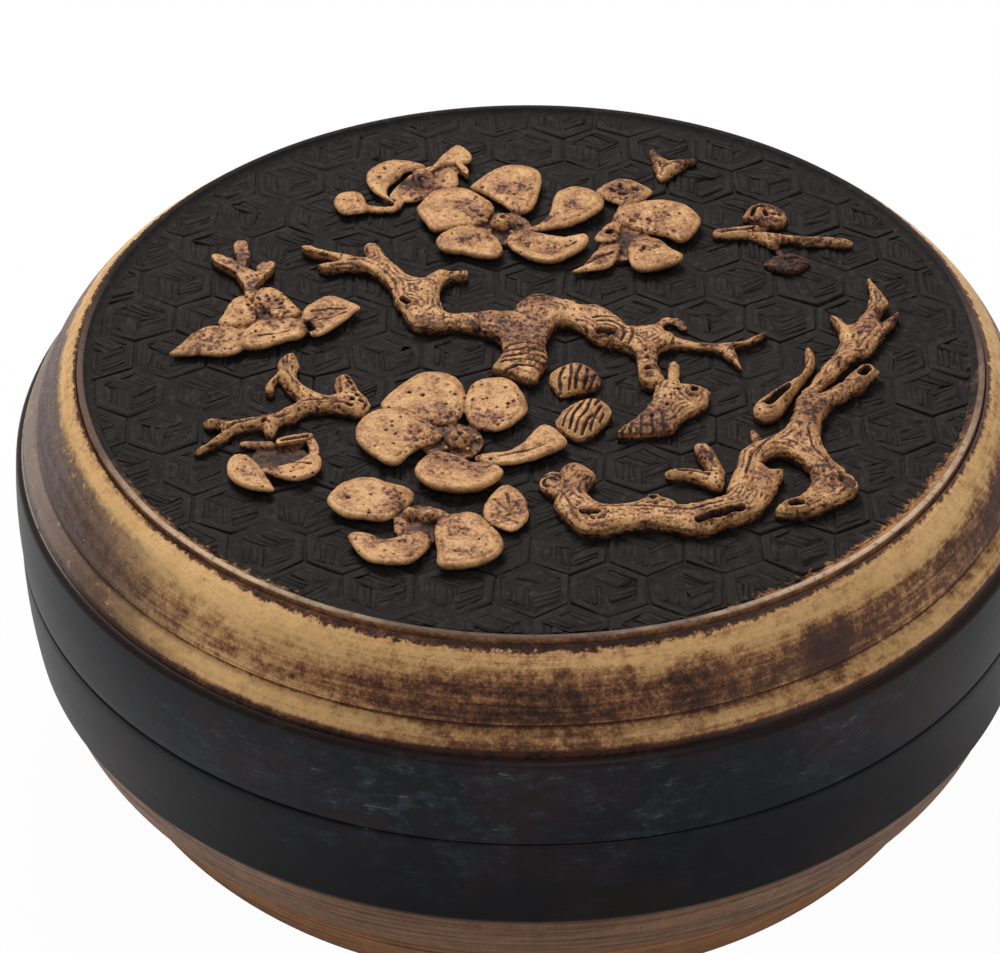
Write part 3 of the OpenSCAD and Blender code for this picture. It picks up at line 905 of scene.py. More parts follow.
def make_panel(material):
    """Panel: a disc with a raised rim, and on its ground the cells, wavering as if cut by hand."""
    panel = turned("carved_panel", [
        (0, recess_z), (panel_r - panel_chamfer, recess_z), (panel_r, recess_z + panel_chamfer),
        (panel_r, ground_z - cell_t),
        *bow((panel_r, ground_z + rim_h - crest_w), (panel_r - crest_w, ground_z + rim_h),
             crest_w * quarter_sag, 6),
        *bow((panel_r - crest_w - crest_flat, ground_z + rim_h), (ground_r, ground_z - cell_depth),
             -rim_hollow, 8),
        (0, ground_z - cell_depth)])
    cells = ground_cell()
    row_step = cell_pitch * math.sin(math.pi / 3)
    rows = math.ceil(ground_r / row_step)
    columns = math.ceil(ground_r / cell_pitch) + rows // 2 + 1
    cells.location = (-columns * cell_pitch - rows * cell_pitch / 2, -rows * row_step, ground_z)
    for count, way in [(2 * columns + 1, (cell_pitch, 0, 0)),
                       (2 * rows + 1, (cell_pitch / 2, row_step, 0))]:
        array = cells.modifiers.new("repeat", "ARRAY")
        array.count = count
        array.use_relative_offset = False
        array.use_constant_offset = True
        array.constant_offset_displace = way
    wander = cells.modifiers.new("hand_cut", "DISPLACE")
    wander.texture = hand_cut
    wander.texture_coords = "GLOBAL"
    wander.direction = "RGB_TO_XYZ"
    wander.strength = hand_wander
    apply_all(cells)
    bpy.ops.object.transform_apply(location=True)
    bpy.ops.object.select_all(action="DESELECT")
    bpy.ops.mesh.primitive_cylinder_add(vertices=180, radius=ground_r + trim_over, depth=trim_h,
                                        location=(0, 0, ground_z))
    cutter = bpy.context.object
    only(cells)
    trim = cells.modifiers.new("trim", "BOOLEAN")
    trim.operation = "INTERSECT"
    trim.solver = "MANIFOLD"
    trim.object = cutter
    apply_all(cells)
    bpy.data.objects.remove(cutter)
    only(panel, cells)
    bpy.ops.object.join()
    paint(panel, [material], lambda face: 0)
    smooth_turning(panel, 60)
    settle(panel, "lid", "top_panel")


# Carving helpers

def smooth_loop(points, spacing=0.3):
    """A closed smooth line through a few given points, as an array of closer ones."""
    points = np.array(points, float)
    line = []
    for i in range(len(points)):
        before, here, there, after = (points[(i + k) % len(points)] for k in (-1, 0, 1, 2))
        count = max(1, round(np.linalg.norm(there - here) / spacing))
        for t in np.arange(count) / count:
            line.append(here + 0.5 * t * (there - before
                        + t * (2 * before - 5 * here + 4 * there - after
                               + t * (3 * (here - there) + after - before))))
    return np.array(line)


def gap_to(at, start, end):
    """How far each (x, y) point lies from the straight line between two points."""
    way = end - start
    along = np.clip(((at - start) @ way) / max(way @ way, 1e-9), 0, 1)
    return np.linalg.norm(at - start - along[:, None] * way, axis=1)


def inside_by(at, line):
    """How far each (x, y) point lies inside a closed line; less than 0 outside it."""
    gap = np.full(len(at), np.inf)
    inside = np.zeros(len(at), bool)
    for start, end in zip(line, np.roll(line, -1, axis=0)):
        gap = np.minimum(gap, gap_to(at, start, end))
        way = end - start
        rise = way[1] if abs(way[1]) > 1e-9 else 1e-9
        crossed = (start[1] > at[:, 1]) != (end[1] > at[:, 1])
        inside ^= crossed & (at[:, 0] < start[0] + (at[:, 1] - start[1]) * way[0] / rise)
    return np.where(inside, gap, -gap)


def points_of(piece, kind="co"):
    """The piece's points, or their normals, as an array."""
    values = np.empty(len(piece.data.vertices) * 3)
    piece.data.vertices.foreach_get(kind, values)
    return values.reshape(-1, 3)


def move_points(piece, at):
    piece.data.vertices.foreach_set("co", at.ravel())
    piece.data.update()


def slip(points, high):
    """A flat slip of wood with a given outline, standing a little into the ground."""
    line = smooth_loop(points)
    bpy.ops.object.select_all(action="DESELECT")
    bpy.ops.mesh.primitive_circle_add(vertices=len(line), fill_type="NGON")
    piece = bpy.context.object
    move_points(piece, np.column_stack([line, np.full(len(line), -slip_root)]))
    bpy.ops.object.mode_set(mode="EDIT")
    bpy.ops.mesh.select_mode(type="FACE")
    bpy.ops.mesh.select_all(action="SELECT")
    bpy.ops.mesh.extrude_region_move(TRANSFORM_OT_translate={"value": (0, 0, high + slip_root)})
    bpy.ops.mesh.select_all(action="SELECT")
    bpy.ops.mesh.normals_make_consistent(inside=False)
    bpy.ops.object.mode_set(mode="OBJECT")
    return piece


def fill_skin(piece, size):
    """Remakes a solid with small even faces."""
    remesh = piece.modifiers.new("skin", "REMESH")
    remesh.mode = "VOXEL"
    remesh.voxel_size = size
    apply_all(piece)


def soften(piece, times):
    """Smooths a surface in so many passes."""
    smooth = piece.modifiers.new("soften", "SMOOTH")
    smooth.factor = 0.5
    smooth.iterations = times


def petal(points, high, heart, lean=0.2, dish=0.06):
    """A petal that spreads beyond its drawn foot, most at the back, and sinks towards the heart."""
    points = np.array(points, float)
    middle, half = (points.max(0) + points.min(0)) / 2, (points.max(0) - points.min(0)) / 2
    side, back = ((points - middle) / half).T
    points += np.column_stack([petal_side * side, np.where(back > 0, petal_back, petal_front) * back])
    piece = slip(points, high)
    fill_skin(piece, petal_voxel)
    at, out = points_of(piece), points_of(piece, "normal")
    depth = np.maximum(inside_by(at[:, :2], smooth_loop(points)), 0)
    reach = np.linalg.norm(at[:, :2] - np.array(heart), axis=1)
    outward = (reach - reach.min()) / (reach.max() - reach.min())
    fall = petal_fall * np.clip(1 - depth / petal_round, 0, 1) ** 2
    fall += dish * np.clip((depth - dish_start) / dish_reach, 0, 1)
    fall += line_depth * np.exp(-(((depth - line_in) / line_w) ** 2))
    top = 1 - lean * (1 - outward) ** 1.5 - fall / high
    low = np.clip(1 - at[:, 2] / (undercut_share * high), 0, 1) * np.clip(1 - depth / undercut_in, 0, 1)
    at[:, :2] -= out[:, :2] * (undercut * low)[:, None]
    at[:, 2] = np.where(at[:, 2] > 0, at[:, 2] * top, at[:, 2])
    move_points(piece, at)
    return piece


def limb(path, rise=0.35, flat=0.8):
    """A stem along (x, y, width) points: a chain of vertices thickened by a Skin modifier."""
    stem = chain([(x, y, 0) for x, y, _ in path])
    bpy.ops.object.mode_set(mode="OBJECT")
    stem.modifiers.new("thickness", "SKIN")
    for corner, point in zip(stem.data.skin_vertices[0].data, stem.data.vertices):
        _, _, width = min(path, key=lambda at: math.dist(at[:2], point.co[:2]))
        corner.radius = (width * limb_swell, width * limb_swell)
    rounding = stem.modifiers.new("rounding", "SUBSURF")
    rounding.levels = rounding.render_levels = 2
    apply_all(stem)
    stem.scale.z = flat
    stem.location.z = rise
    bpy.ops.object.transform_apply(location=True, scale=True)
    return stem


def bead(x, y, across, top):
    """A small round lump whose top stands at a height over the ground."""
    bpy.ops.object.select_all(action="DESELECT")
    bpy.ops.mesh.primitive_uv_sphere_add(segments=24, ring_count=12, radius=across / 2)
    lump = bpy.context.object
    lump.scale.z = max(1.0, 0.8 * top / across)
    lump.location = (x, y, top - lump.scale.z * across / 2)
    bpy.ops.object.transform_apply(location=True, scale=True)
    return lump


def round_pad(x, y, across, high):
    """A low round pad that ties a blossom's petals together."""
    turns = [2 * math.pi * i / 12 for i in range(12)]
    return slip([(x + across / 2 * math.cos(turn), y + across / 2 * math.sin(turn)) for turn in turns],
                high)


def blossom_heart(x, y):
    """The raised boss in the middle of a blossom, with a few stamen heads round it."""
    forms = [bead(x, y, boss_w, boss_h)]
    for number in range(stamens):
        turn = math.radians(number * 360 / stamens + stamen_turn)
        out = stamen_reach[0] * math.cos(turn), stamen_reach[1] * math.sin(turn)
        forms.append(bead(x + out[0], y + out[1], stamen_w, stamen_h))
    return forms


class Skin:
    """The points of a carving, held as arrays while gouges and pits are cut into them."""

    def __init__(self, node, forms, uneven):
        """Joins the forms into one closed skin, cut flat underneath, as uneven as hand carving."""
        only(*forms)
        if len(forms) > 1:
            bpy.ops.object.join()
        self.node = node
        self.piece = forms[0]
        self.piece.name = "carved_" + node
        fill_skin(self.piece, voxel)
        bpy.ops.object.mode_set(mode="EDIT")
        bpy.ops.mesh.select_all(action="SELECT")
        bpy.ops.mesh.bisect(plane_co=(0, 0, -sunk), plane_no=(0, 0, 1), use_fill=True, clear_inner=True)
        bpy.ops.object.mode_set(mode="OBJECT")
        soften(self.piece, 3)
        for texture, strength in uneven:
            wobble = self.piece.modifiers.new("uneven", "DISPLACE")
            wobble.texture = texture
            wobble.strength = strength
        apply_all(self.piece)
        self.read()
        self.dark = np.zeros(len(self.at))

    def read(self):
        self.at, self.out = points_of(self.piece), points_of(self.piece, "normal")

    def upper(self):
        """1 on the carving's upper faces, 0 on its sides and at its foot."""
        return np.clip(self.out[:, 2] * 2 + 0.5, 0, 1) * np.clip(self.at[:, 2] / 0.3, 0, 1)

    def round_over(self, outlines, fall, reach):
        """Lowers a flat-topped carving towards its edges, like the back of a branch."""
        self.depth = np.zeros(len(self.at))
        for outline in outlines:
            self.depth = np.maximum(self.depth, inside_by(self.at[:, :2], smooth_loop(outline, 0.6)))
        low = (1 - np.clip(self.depth / reach, 0, 1)) ** 2
        self.at[:, 2] *= np.where(self.at[:, 2] > 0, 1 - fall * low, 1)
        move_points(self.piece, self.at)
        self.read()

    def bark(self, pitch, deep, knots=()):
        """Cuts broken grooves along a branch, beside its edges and round its (x, y, size) knots."""
        lie = self.depth.copy()
        for x, y, size in knots:
            away = np.linalg.norm((self.at[:, :2] - np.array((x, y))) * (1, 1.3), axis=1)
            lie = np.minimum(lie, np.maximum(away - size, 0))
        waver = np.array([lumps.noise(Vector(point) * 0.6) for point in self.at])
        broken = np.array([lumps.noise(Vector(point) * 0.9) for point in self.at])
        wave = 0.5 + 0.5 * np.cos(2 * math.pi * (lie + 0.35 * waver) / pitch)
        groove = wave ** 3 * np.clip(2 * broken + 0.4, 0, 1) * self.upper()
        self.at[:, 2] -= deep * groove
        self.dark = np.maximum(self.dark, 0.5 * groove)
        move_points(self.piece, self.at)
        self.read()

    def rub(self, x, y, spread, amount, below=9.0):
        """Marks a place where the gilding is rubbed away, or only its parts below a height, where the
        darkening also stands for painted shade in low places.
        """
        away = np.linalg.norm(self.at[:, :2] - np.array((x, y)), axis=1)
        amount = amount * np.clip((below - self.at[:, 2]) / 0.2, 0, 1)
        self.dark = np.maximum(self.dark, amount * np.exp(-((away / spread) ** 2)))

    def gouge(self, path, width, depth, lip=0.0):
        """Sinks the skin along (x, y) points, deepest on their line, and may raise a lip beside it."""
        line = np.array(path, float).reshape(-1, 2)
        gap = np.full(len(self.at), np.inf)
        for start, end in zip(line, line[1:] if len(line) > 1 else line):
            gap = np.minimum(gap, gap_to(self.at[:, :2], start, end))
        half = width / 2
        upper = self.upper()
        sink = np.clip(1 - (gap / half) ** 2, 0, 1) ** 1.5 * upper
        rise = np.exp(-(((gap - half * 1.2) / 0.14) ** 2)) * upper * lip
        self.at[:, 2] = np.maximum(self.at[:, 2] + rise - depth * sink,
                                   np.minimum(self.at[:, 2], gouge_floor))
        inside = np.clip((1 - gap / half) / 0.3, 0, 1) * np.clip(self.at[:, 2] * 9 + 1, 0, 1)
        self.dark = np.maximum(self.dark, inside * upper.clip(0.4) * min(1.0, depth / 0.5))

    def rings(self, x, y, radii, width, depth, start=0.0, end=360.0):
        """Gouges along arcs round a point, from one angle to another."""
        for radius in radii:
            turns = np.radians(np.linspace(start, end, 17))
            self.gouge(np.stack([x + radius * np.cos(turns), y + radius * np.sin(turns)], 1), width, depth)

    def pits(self, seed, count, sizes, depth, heart=None, spread=0.0):
        """Small holes at random places on top of the carving, or only around a heart, which is rubbed."""
        draw = np.random.default_rng(seed)
        places = np.flatnonzero((self.out[:, 2] > 0.3) & (self.at[:, 2] > 0.4))
        if heart is not None:
            away = np.linalg.norm(self.at[:, :2] - np.array(heart), axis=1)
            close = np.exp(-((away / spread) ** 2))
            self.dark = np.maximum(self.dark, 0.16 * close)
            places = places[draw.random(len(places)) < close[places]]
        tree = kdtree.KDTree(len(self.at))
        for index, point in enumerate(self.at):
            tree.insert(point, index)
        tree.balance()
        for middle in draw.choice(places, count):
            reach, shade = draw.uniform(*sizes), draw.uniform(0.15, 0.5)
            for _, index, gap in tree.find_range(self.at[middle], reach):
                fall = max(0.0, 1 - (gap / reach) ** 2) ** 1.5
                self.at[index] -= self.out[middle] * fall * depth
                self.dark[index] = max(self.dark[index], fall * shade)

    def finish(self, slot, material, back=0.0, squat=1.0, skirt=0.45):
        """Puts the points back and seats the carving on the panel.

        Each point also gets a value from -1 on an edge, painted lighter as a highlight, to 1 in a recess
        and 1.5 at the foot, painted darker as shade over dark lacquer.
        """
        piece = self.piece
        self.at[:, 2] *= np.where(self.at[:, 2] > 0, squat, 1)
        move_points(piece, self.at)
        only(piece)
        bpy.ops.object.duplicate()
        copy = bpy.context.object
        soften(copy, 30)
        apply_all(copy)
        lies = ((points_of(copy) - self.at) * points_of(piece, "normal")).sum(1)
        bpy.data.objects.remove(copy)
        # Painted shade at the foot, where the undercut lies in shadow, with some dirt
        skirt_h = skirt * np.percentile(self.at[:, 2], 97)
        foot = foot_shade * np.clip(1.0 - self.at[:, 2] / skirt_h, 0, 1)
        hollow = np.maximum(np.clip(lies / hollow_full, -1, 1), np.maximum(self.dark, foot))
        attribute = piece.data.attributes.new("hollow", "FLOAT", "POINT")
        attribute.data.foreach_set("value", hollow.astype(np.float32))
        piece.data.materials.clear()
        piece.data.materials.append(material)
        only(piece)
        bpy.ops.object.shade_smooth()
        piece.location = (0, back, ground_z)
        bpy.ops.object.transform_apply(location=True)
        settle(piece, "lid", self.node)


# Branches

def make_main_branch(material):
    """The branch across the middle, forked at the left and broken off at the right."""
    left_fork = [(-17.7, 12.5), (-17.2, 12.7), (-16, 12), (-14.4, 11.5), (-13.2, 11), (-12.4, 11.1),
                 (-12.8, 12.4), (-12.6, 12.9), (-11.9, 12.9), (-11.1, 11.2), (-10.3, 9.9), (-9.6, 8.9),
                 (-8.7, 8.3), (-8.1, 8.3), (-7, 9.3), (-5.9, 9.1), (-4.8, 9.2), (-4.9, 8.5), (-5.6, 8.6),
                 (-6.6, 7.8), (-6.9, 6.5), (-6.8, 4.8), (-6.5, 3.8), (-6, 2.9), (-6.1, 2.1), (-7.3, 1.7),
                 (-8.5, 1.8), (-9.1, 2.4), (-9.8, 4.2), (-10.3, 5.2), (-10.5, 6), (-10.7, 7), (-11.2, 8.1),
                 (-12, 9.1), (-13, 9.8), (-14.4, 9.7), (-15.9, 9.7), (-16.3, 10), (-15.6, 10.3),
                 (-14.7, 10.6), (-15.3, 11.2), (-16.3, 11.6), (-17.5, 12.2)]
    link = [(-8.6, 4.2), (-6.8, 3.9), (-5.6, 3.7), (-4.6, 3.8), (-3.4, 3.9), (-2.1, 4), (-1.1, 4),
            (-0.4, 2.6), (-1.1, 1.1), (-2.3, 0.8), (-3, 1.2), (-3.7, 1.7), (-5.1, 1.8), (-5.8, 2),
            (-6.8, 2.4), (-8.4, 2.6)]
    trunk = [(-3.8, 3.5), (-2.4, 3.3), (-1.3, 3.6), (-1.1, 4.5), (-0.6, 5.3), (0, 5.9), (0.8, 6),
             (1.7, 5.7), (2.4, 5.3), (3.4, 5), (3.6, 3.7), (3, 2.6), (2, 2.4), (1.5, 1.4), (1.2, 0.2),
             (1.1, -1.4), (1.3, -2.4), (0.7, -3.8), (0.4, -4.8), (-0.2, -5), (-0.9, -4.5), (-2.8, -3.5),
             (-2.5, -2.6), (-2.1, -1.8), (-2.2, 0), (-3, 1.1), (-3.8, 1.5)]
    crown = [(1.6, 4.6), (2.4, 5.2), (3.4, 4.7), (4.3, 4.6), (4.9, 4.6), (5.6, 4.2), (6.2, 3.5), (6.9, 2.5),
             (7.6, 1.8), (8.7, 1.8), (9.6, 1.9), (10.1, 1.1), (10.7, 0.5), (10.5, -0.4), (9.7, -0.8),
             (9.4, -1.9), (9.5, -3.4), (9.8, -4.7), (9.7, -5.5), (9, -5.6), (8.3, -5.1), (8, -4.1),
             (8, -2.6), (7.8, -1.4), (7.1, -0.7), (6.2, -0.4), (5.5, -0.1), (4.7, 0.5), (4.2, 1.2),
             (3.6, 2), (2.9, 2.5), (2, 2.6)]
    fork = [(9, 1.2), (10.6, 1), (11.7, 0.4), (13.4, 0), (15.4, 0.2), (16.3, 0.5), (17.9, 1.6), (17, 0.4),
            (16, -0.1), (15.3, -0.5), (15.5, -1.8), (15.7, -3.2), (14.9, -2), (14.2, -1.1), (13.4, -0.7),
            (12, -0.5), (10.6, -0.4), (9, -0.6)]
    broken_end = [(9.2, -5.9), (9.4, -4.7), (10.1, -5), (10.2, -4), (10.4, -2.9), (10.8, -2.6),
                  (11.1, -3.4), (11, -4.7), (11.1, -5.4), (11.7, -5.5), (12.6, -5.8), (13.2, -6.5),
                  (13.1, -7.6), (12.4, -8.4), (11.4, -9.3), (10.7, -10.3), (10.3, -11), (8.8, -11.4),
                  (7.4, -11.5), (6.3, -11.5), (6.6, -10.9), (7.4, -10), (8.4, -8.6), (8.9, -7.4)]
    skin = Skin("main_branch", [
        slip(left_fork, 1.45), slip(link, 1.35), slip(trunk, 1.55), slip(crown, 1.6), slip(fork, 1.1),
        slip(broken_end, 1.45), limb([(9.8, 1.2, 0.9), (9.7, 2.6, 0.8), (10.4, 3.4, 0.8), (11.3, 3, 0.8),
                                      (11.7, 2, 0.6)], 0.6),
    ], branch_uneven)
    skin.round_over([left_fork, link, trunk, crown, fork, broken_end], 0.25, 0.8)
    skin.bark(0.42, 0.06, [(-9.5, 4.7, 0.5), (8.7, -4.2, 0.3), (12.1, -6.7, 0.3)])
    skin.rings(5.6, 0.6, [0.95, 1.45, 2.1], 0.26, 0.2, -35, 115)
    skin.rings(5.7, 0.9, [0.8], 0.24, 0.2, 150, 320)
    for path in [[(-1.9, -1.2), (-0.4, -0.7), (1, -1)], [(-1.9, -1.9), (-0.3, -1.4), (1, -1.8)],
                 [(-2.1, -2.6), (-0.4, -2.1), (1.1, -2.5)], [(-2.3, -3.2), (-0.6, -2.8), (0.9, -3.2)],
                 [(-1.9, -3.9), (-0.6, -3.6), (0.6, -3.9)], [(7.4, -10.3), (7.2, -11.6)],
                 [(8.1, -9.6), (8, -11.6)], [(8.8, -9.4), (8.9, -11.6)], [(9.6, -9.2), (9.7, -11.3)],
                 [(6.9, -10.9), (6.6, -11.6)]]:
        skin.gouge(path, 0.26, 0.22, 0.05)
    skin.gouge([(5.2, 0.8), (6.1, 0.5)], 0.75, 1.0, 0.25)
    skin.gouge([(-9.7, 5), (-9.3, 4.5)], 0.55, 0.9, 0.25)
    skin.gouge([(8.7, -4.2)], 0.6, 0.8, 0.28)
    skin.gouge([(12.1, -6.7)], 0.6, 0.8, 0.28)
    skin.gouge([(0.2, 5.3), (1, 5.3)], 0.4, 0.4, 0.12)
    for hole in [(8.9, -9.6), (9.4, -9), (10, -8.4), (10.9, -6.5), (-5.3, 8.9), (8.7, -2.6), (8.6, -1.6)]:
        skin.gouge([hole], 0.36, 0.35)
    for place in [(-3.8, 2.7, 2, 0.35), (0.4, 4.9, 1.4, 0.35), (-0.6, 0.4, 2.6, 0.42), (9, -10, 2.2, 0.35),
                  (9.4, -2.4, 1.6, 0.25), (14.6, -0.8, 2.2, 0.2), (-8, 2.2, 1.2, 0.35)]:
        skin.rub(*place)
    skin.pits(1, 800, (0.08, 0.13), 0.06)
    skin.finish("branch_gilt", material, back=0.6, squat=0.82)


def make_lower_branch(material):
    """The branch along the right, from its crest round to the cut stem in front."""
    crest = [(26, 8.2), (26.4, 7.2), (26.9, 6.1), (27.2, 5.1), (26.9, 4.3), (26.4, 3.2), (26.5, 2.4),
             (27.2, 3.1), (28, 3.8), (27.3, 2.2), (26.5, 0.8), (25.8, -0.6), (25.3, -1.6), (24.3, -2),
             (23.5, -3.1), (22.6, -4.5), (21.7, -5.6), (21, -7), (20, -7.4), (20, -6.4), (20.7, -5.5),
             (21.5, -3.8), (22.1, -2.7), (22.9, -1.4), (23.3, 0.2), (23.2, 1.6), (22.7, 3.4), (23.4, 2.9),
             (23.9, 2), (24.5, 2.3), (25.3, 3.7), (25.8, 5.2), (26, 6.6), (25.8, 8)]
    loop_end = [(23.9, -4), (24.8, -3.2), (25.4, -3.3), (25.9, -3.9), (25.6, -4.4), (25.1, -5.1),
                (24.7, -5.8), (24, -6.3), (23.4, -6.8), (22.6, -7.6), (22.1, -8.4), (21.3, -9.2),
                (20.2, -9.2), (20.4, -7.8), (21.2, -6.9), (22.2, -5.9), (23.1, -5.2)]
    neck = [(19.8, -7), (21.5, -6.8), (22.2, -7.5), (21.7, -9.2), (21.3, -10), (21.1, -12.5), (21.5, -14),
            (22, -15.3), (22.7, -16.2), (21.9, -17.4), (20.6, -16.8), (19.9, -15.4), (19.1, -14.4),
            (18.3, -13.8), (17.4, -13.9), (16.7, -14.8), (16.5, -16.4), (16, -18.2), (14, -18.6),
            (14.5, -17), (14.9, -15.2), (15.2, -13.8), (15.8, -13.3), (16.5, -12.7), (17.6, -12),
            (18.5, -11.2), (19, -10.2), (19.4, -8.4)]
    stem = [(1.6, -19.9), (2.1, -18.3), (2.2, -15.9), (3.2, -15.2), (3.8, -15.6), (4.6, -16.9), (3.9, -18),
            (4.1, -19.3), (4.9, -20), (6, -20.2), (7.3, -19.9), (8.1, -19.4), (9.1, -19.3), (10.1, -19.7),
            (10.5, -20.2), (11.3, -20.1), (12.5, -19.7), (13.8, -19.1), (14.5, -18), (14.9, -16.1),
            (15.4, -15), (16.5, -15.2), (17.2, -16), (18.2, -16), (17.9, -17.2), (17.4, -18.6), (16.7, -20),
            (16.1, -21), (15, -21.7), (13.7, -22.2), (12.9, -22.9), (12.1, -23.2), (10.9, -23), (10, -22.6),
            (8.5, -22.4), (6.5, -22.6), (5.1, -23.1), (3.8, -23.1), (2.9, -22.4), (2.2, -21.3)]
    curl = [(0.4, -17.4), (0.6, -16.9), (1.3, -16.2), (2.2, -16.3), (2.7, -17.6), (2.4, -19), (1.7, -18.9),
            (0.8, -18.2)]
    arm = [(19.4, -13.6), (20.8, -13.4), (21.7, -14.7), (22.5, -16.2), (23.2, -17.2), (23.5, -17.9),
           (23.1, -18.6), (22.1, -19.5), (21.2, -20), (20.3, -20.7), (19.2, -21.1), (18.1, -21),
           (17.4, -20.9), (17.6, -20.1), (18.8, -19.2), (19.7, -18.5), (20.2, -17.3), (20.1, -15.7)]
    skin = Skin("lower_branch", [
        slip(crest, 1.4), slip(loop_end, 1.4), slip(neck, 1.6), slip(stem, 1.6), slip(curl, 1.3),
        slip(arm, 1.45), limb([(16.2, -10.6, 0.4), (16.4, -11.6, 0.7), (16.9, -12.8, 0.9)], 0.6),
    ], branch_uneven)
    skin.round_over([crest, loop_end, neck, stem, curl, arm], 0.25, 0.8)
    skin.bark(0.45, 0.05, [(24.8, -4.3, 0.5), (22.6, -17.7, 0.5), (8.7, -19.9, 0.4)])
    skin.gouge([(8.7, -19.9)], 0.6, 0.9, 0.3)
    skin.gouge([(3.6, -21.6), (4.6, -21.6)], 0.6, 0.9, 0.22)
    skin.gouge([(11.9, -22.4), (12.9, -21.9), (14, -21.3), (14.9, -21)], 0.75, 1.1, 0.25)
    skin.gouge([(18.6, -20.4), (19.2, -20.3)], 0.7, 1.0, 0.25)
    skin.gouge([(22.5, -17.5), (22.8, -17.9)], 1.1, 0.35, 0.25)
    skin.gouge([(24.6, -4.6), (25, -4)], 0.8, 0.9, 0.28)
    skin.gouge([(21.4, -6.7), (22.5, -5.4), (23.4, -4.2), (24.4, -2.7)], 0.5, 1.0)
    skin.rings(1.3, -17.6, [0.45, 0.9], 0.26, 0.35, 20, 250)
    for path in [[(18.6, -10.8), (17.4, -12.6), (16, -14.6), (15.4, -17)],
                 [(20.2, -11.4), (20.4, -13.6), (21.6, -16)],
                 [(4.8, -20.8), (7.8, -20.7), (11.2, -21.2), (13.6, -20.2)],
                 [(2.2, -19.2), (2.9, -21), (4.4, -22.3)]]:
        skin.gouge(path, 0.22, 0.14, 0.04)
    for place in [(3, -17.4, 1.6, 0.2), (16.6, -17.6, 1.6, 0.15), (21, -17, 2, 0.2),
                  (20.6, -9.4, 2.2, 0.38), (26, 2.6, 2, 0.3), (23.2, -6, 1.4, 0.3)]:
        skin.rub(*place)
    skin.pits(2, 1000, (0.08, 0.13), 0.06)
    skin.finish("branch_gilt", material, back=0.65, squat=0.82)


def make_left_twig(material):
    """The knobbly twig at the left."""
    twig = [(-24.6, -12.9), (-23.8, -12.1), (-23.3, -11.4), (-22.7, -10.5), (-22.9, -9.8), (-23.9, -9.7),
            (-24, -9.2), (-23.1, -9), (-22.2, -9.2), (-21.2, -9), (-19.8, -8.6), (-19, -8.4), (-18.2, -7.6),
            (-17.2, -6.7), (-18, -5.4), (-18.4, -4.6), (-18.8, -4), (-19, -4.6), (-19.1, -5.6),
            (-19.6, -5.5), (-19.7, -4.7), (-19.4, -4), (-18.9, -3.1), (-18.8, -1.6), (-18.3, -0.9),
            (-17.7, -0.7), (-17.3, -2.3), (-17.5, -2.8), (-17.4, -3.7), (-16.9, -4.7), (-15.9, -5.6),
            (-15, -6.1), (-14.4, -5.9), (-14.6, -4.2), (-14.3, -3.5), (-13.7, -3.4), (-13.3, -3.9),
            (-12.8, -5.3), (-12.1, -6.4), (-11.9, -7.4), (-12.1, -8), (-12.6, -8.4), (-13.3, -8.1),
            (-14.2, -7.9), (-15.2, -7.7), (-16, -7.8), (-16.6, -8), (-17, -8.4), (-17.4, -9.1),
            (-18.4, -9.4), (-18.8, -10.8), (-19.3, -10.9), (-19.6, -10.4), (-19.9, -9.8), (-21.4, -10.2),
            (-21.9, -10.6), (-22.2, -11.1), (-22.8, -11.8), (-24.2, -13)]
    skin = Skin("left_twig", [slip(twig, 1.15)], twig_uneven)
    skin.round_over([twig], 0.45, 0.8)
    skin.bark(0.4, 0.06)
    for path in [[(-23.6, -11.6), (-21.6, -9.8), (-19.2, -9)],
                 [(-18.2, -1.6), (-18.2, -3.4), (-17.2, -5.4)],
                 [(-16.8, -7.2), (-14.8, -7), (-13.2, -7.7)]]:
        skin.gouge(path, 0.24, 0.14, 0.04)
    for hole in [(-13.6, -4.2), (-13.4, -4.9), (-13.1, -5.8), (-12.8, -6.5), (-12.5, -7.2), (-13.2, -7),
                 (-19.6, -9.5)]:
        skin.gouge([hole], 0.45, 0.5)
    skin.pits(3, 260, (0.09, 0.16), 0.08)
    skin.finish("branch_gilt", material)


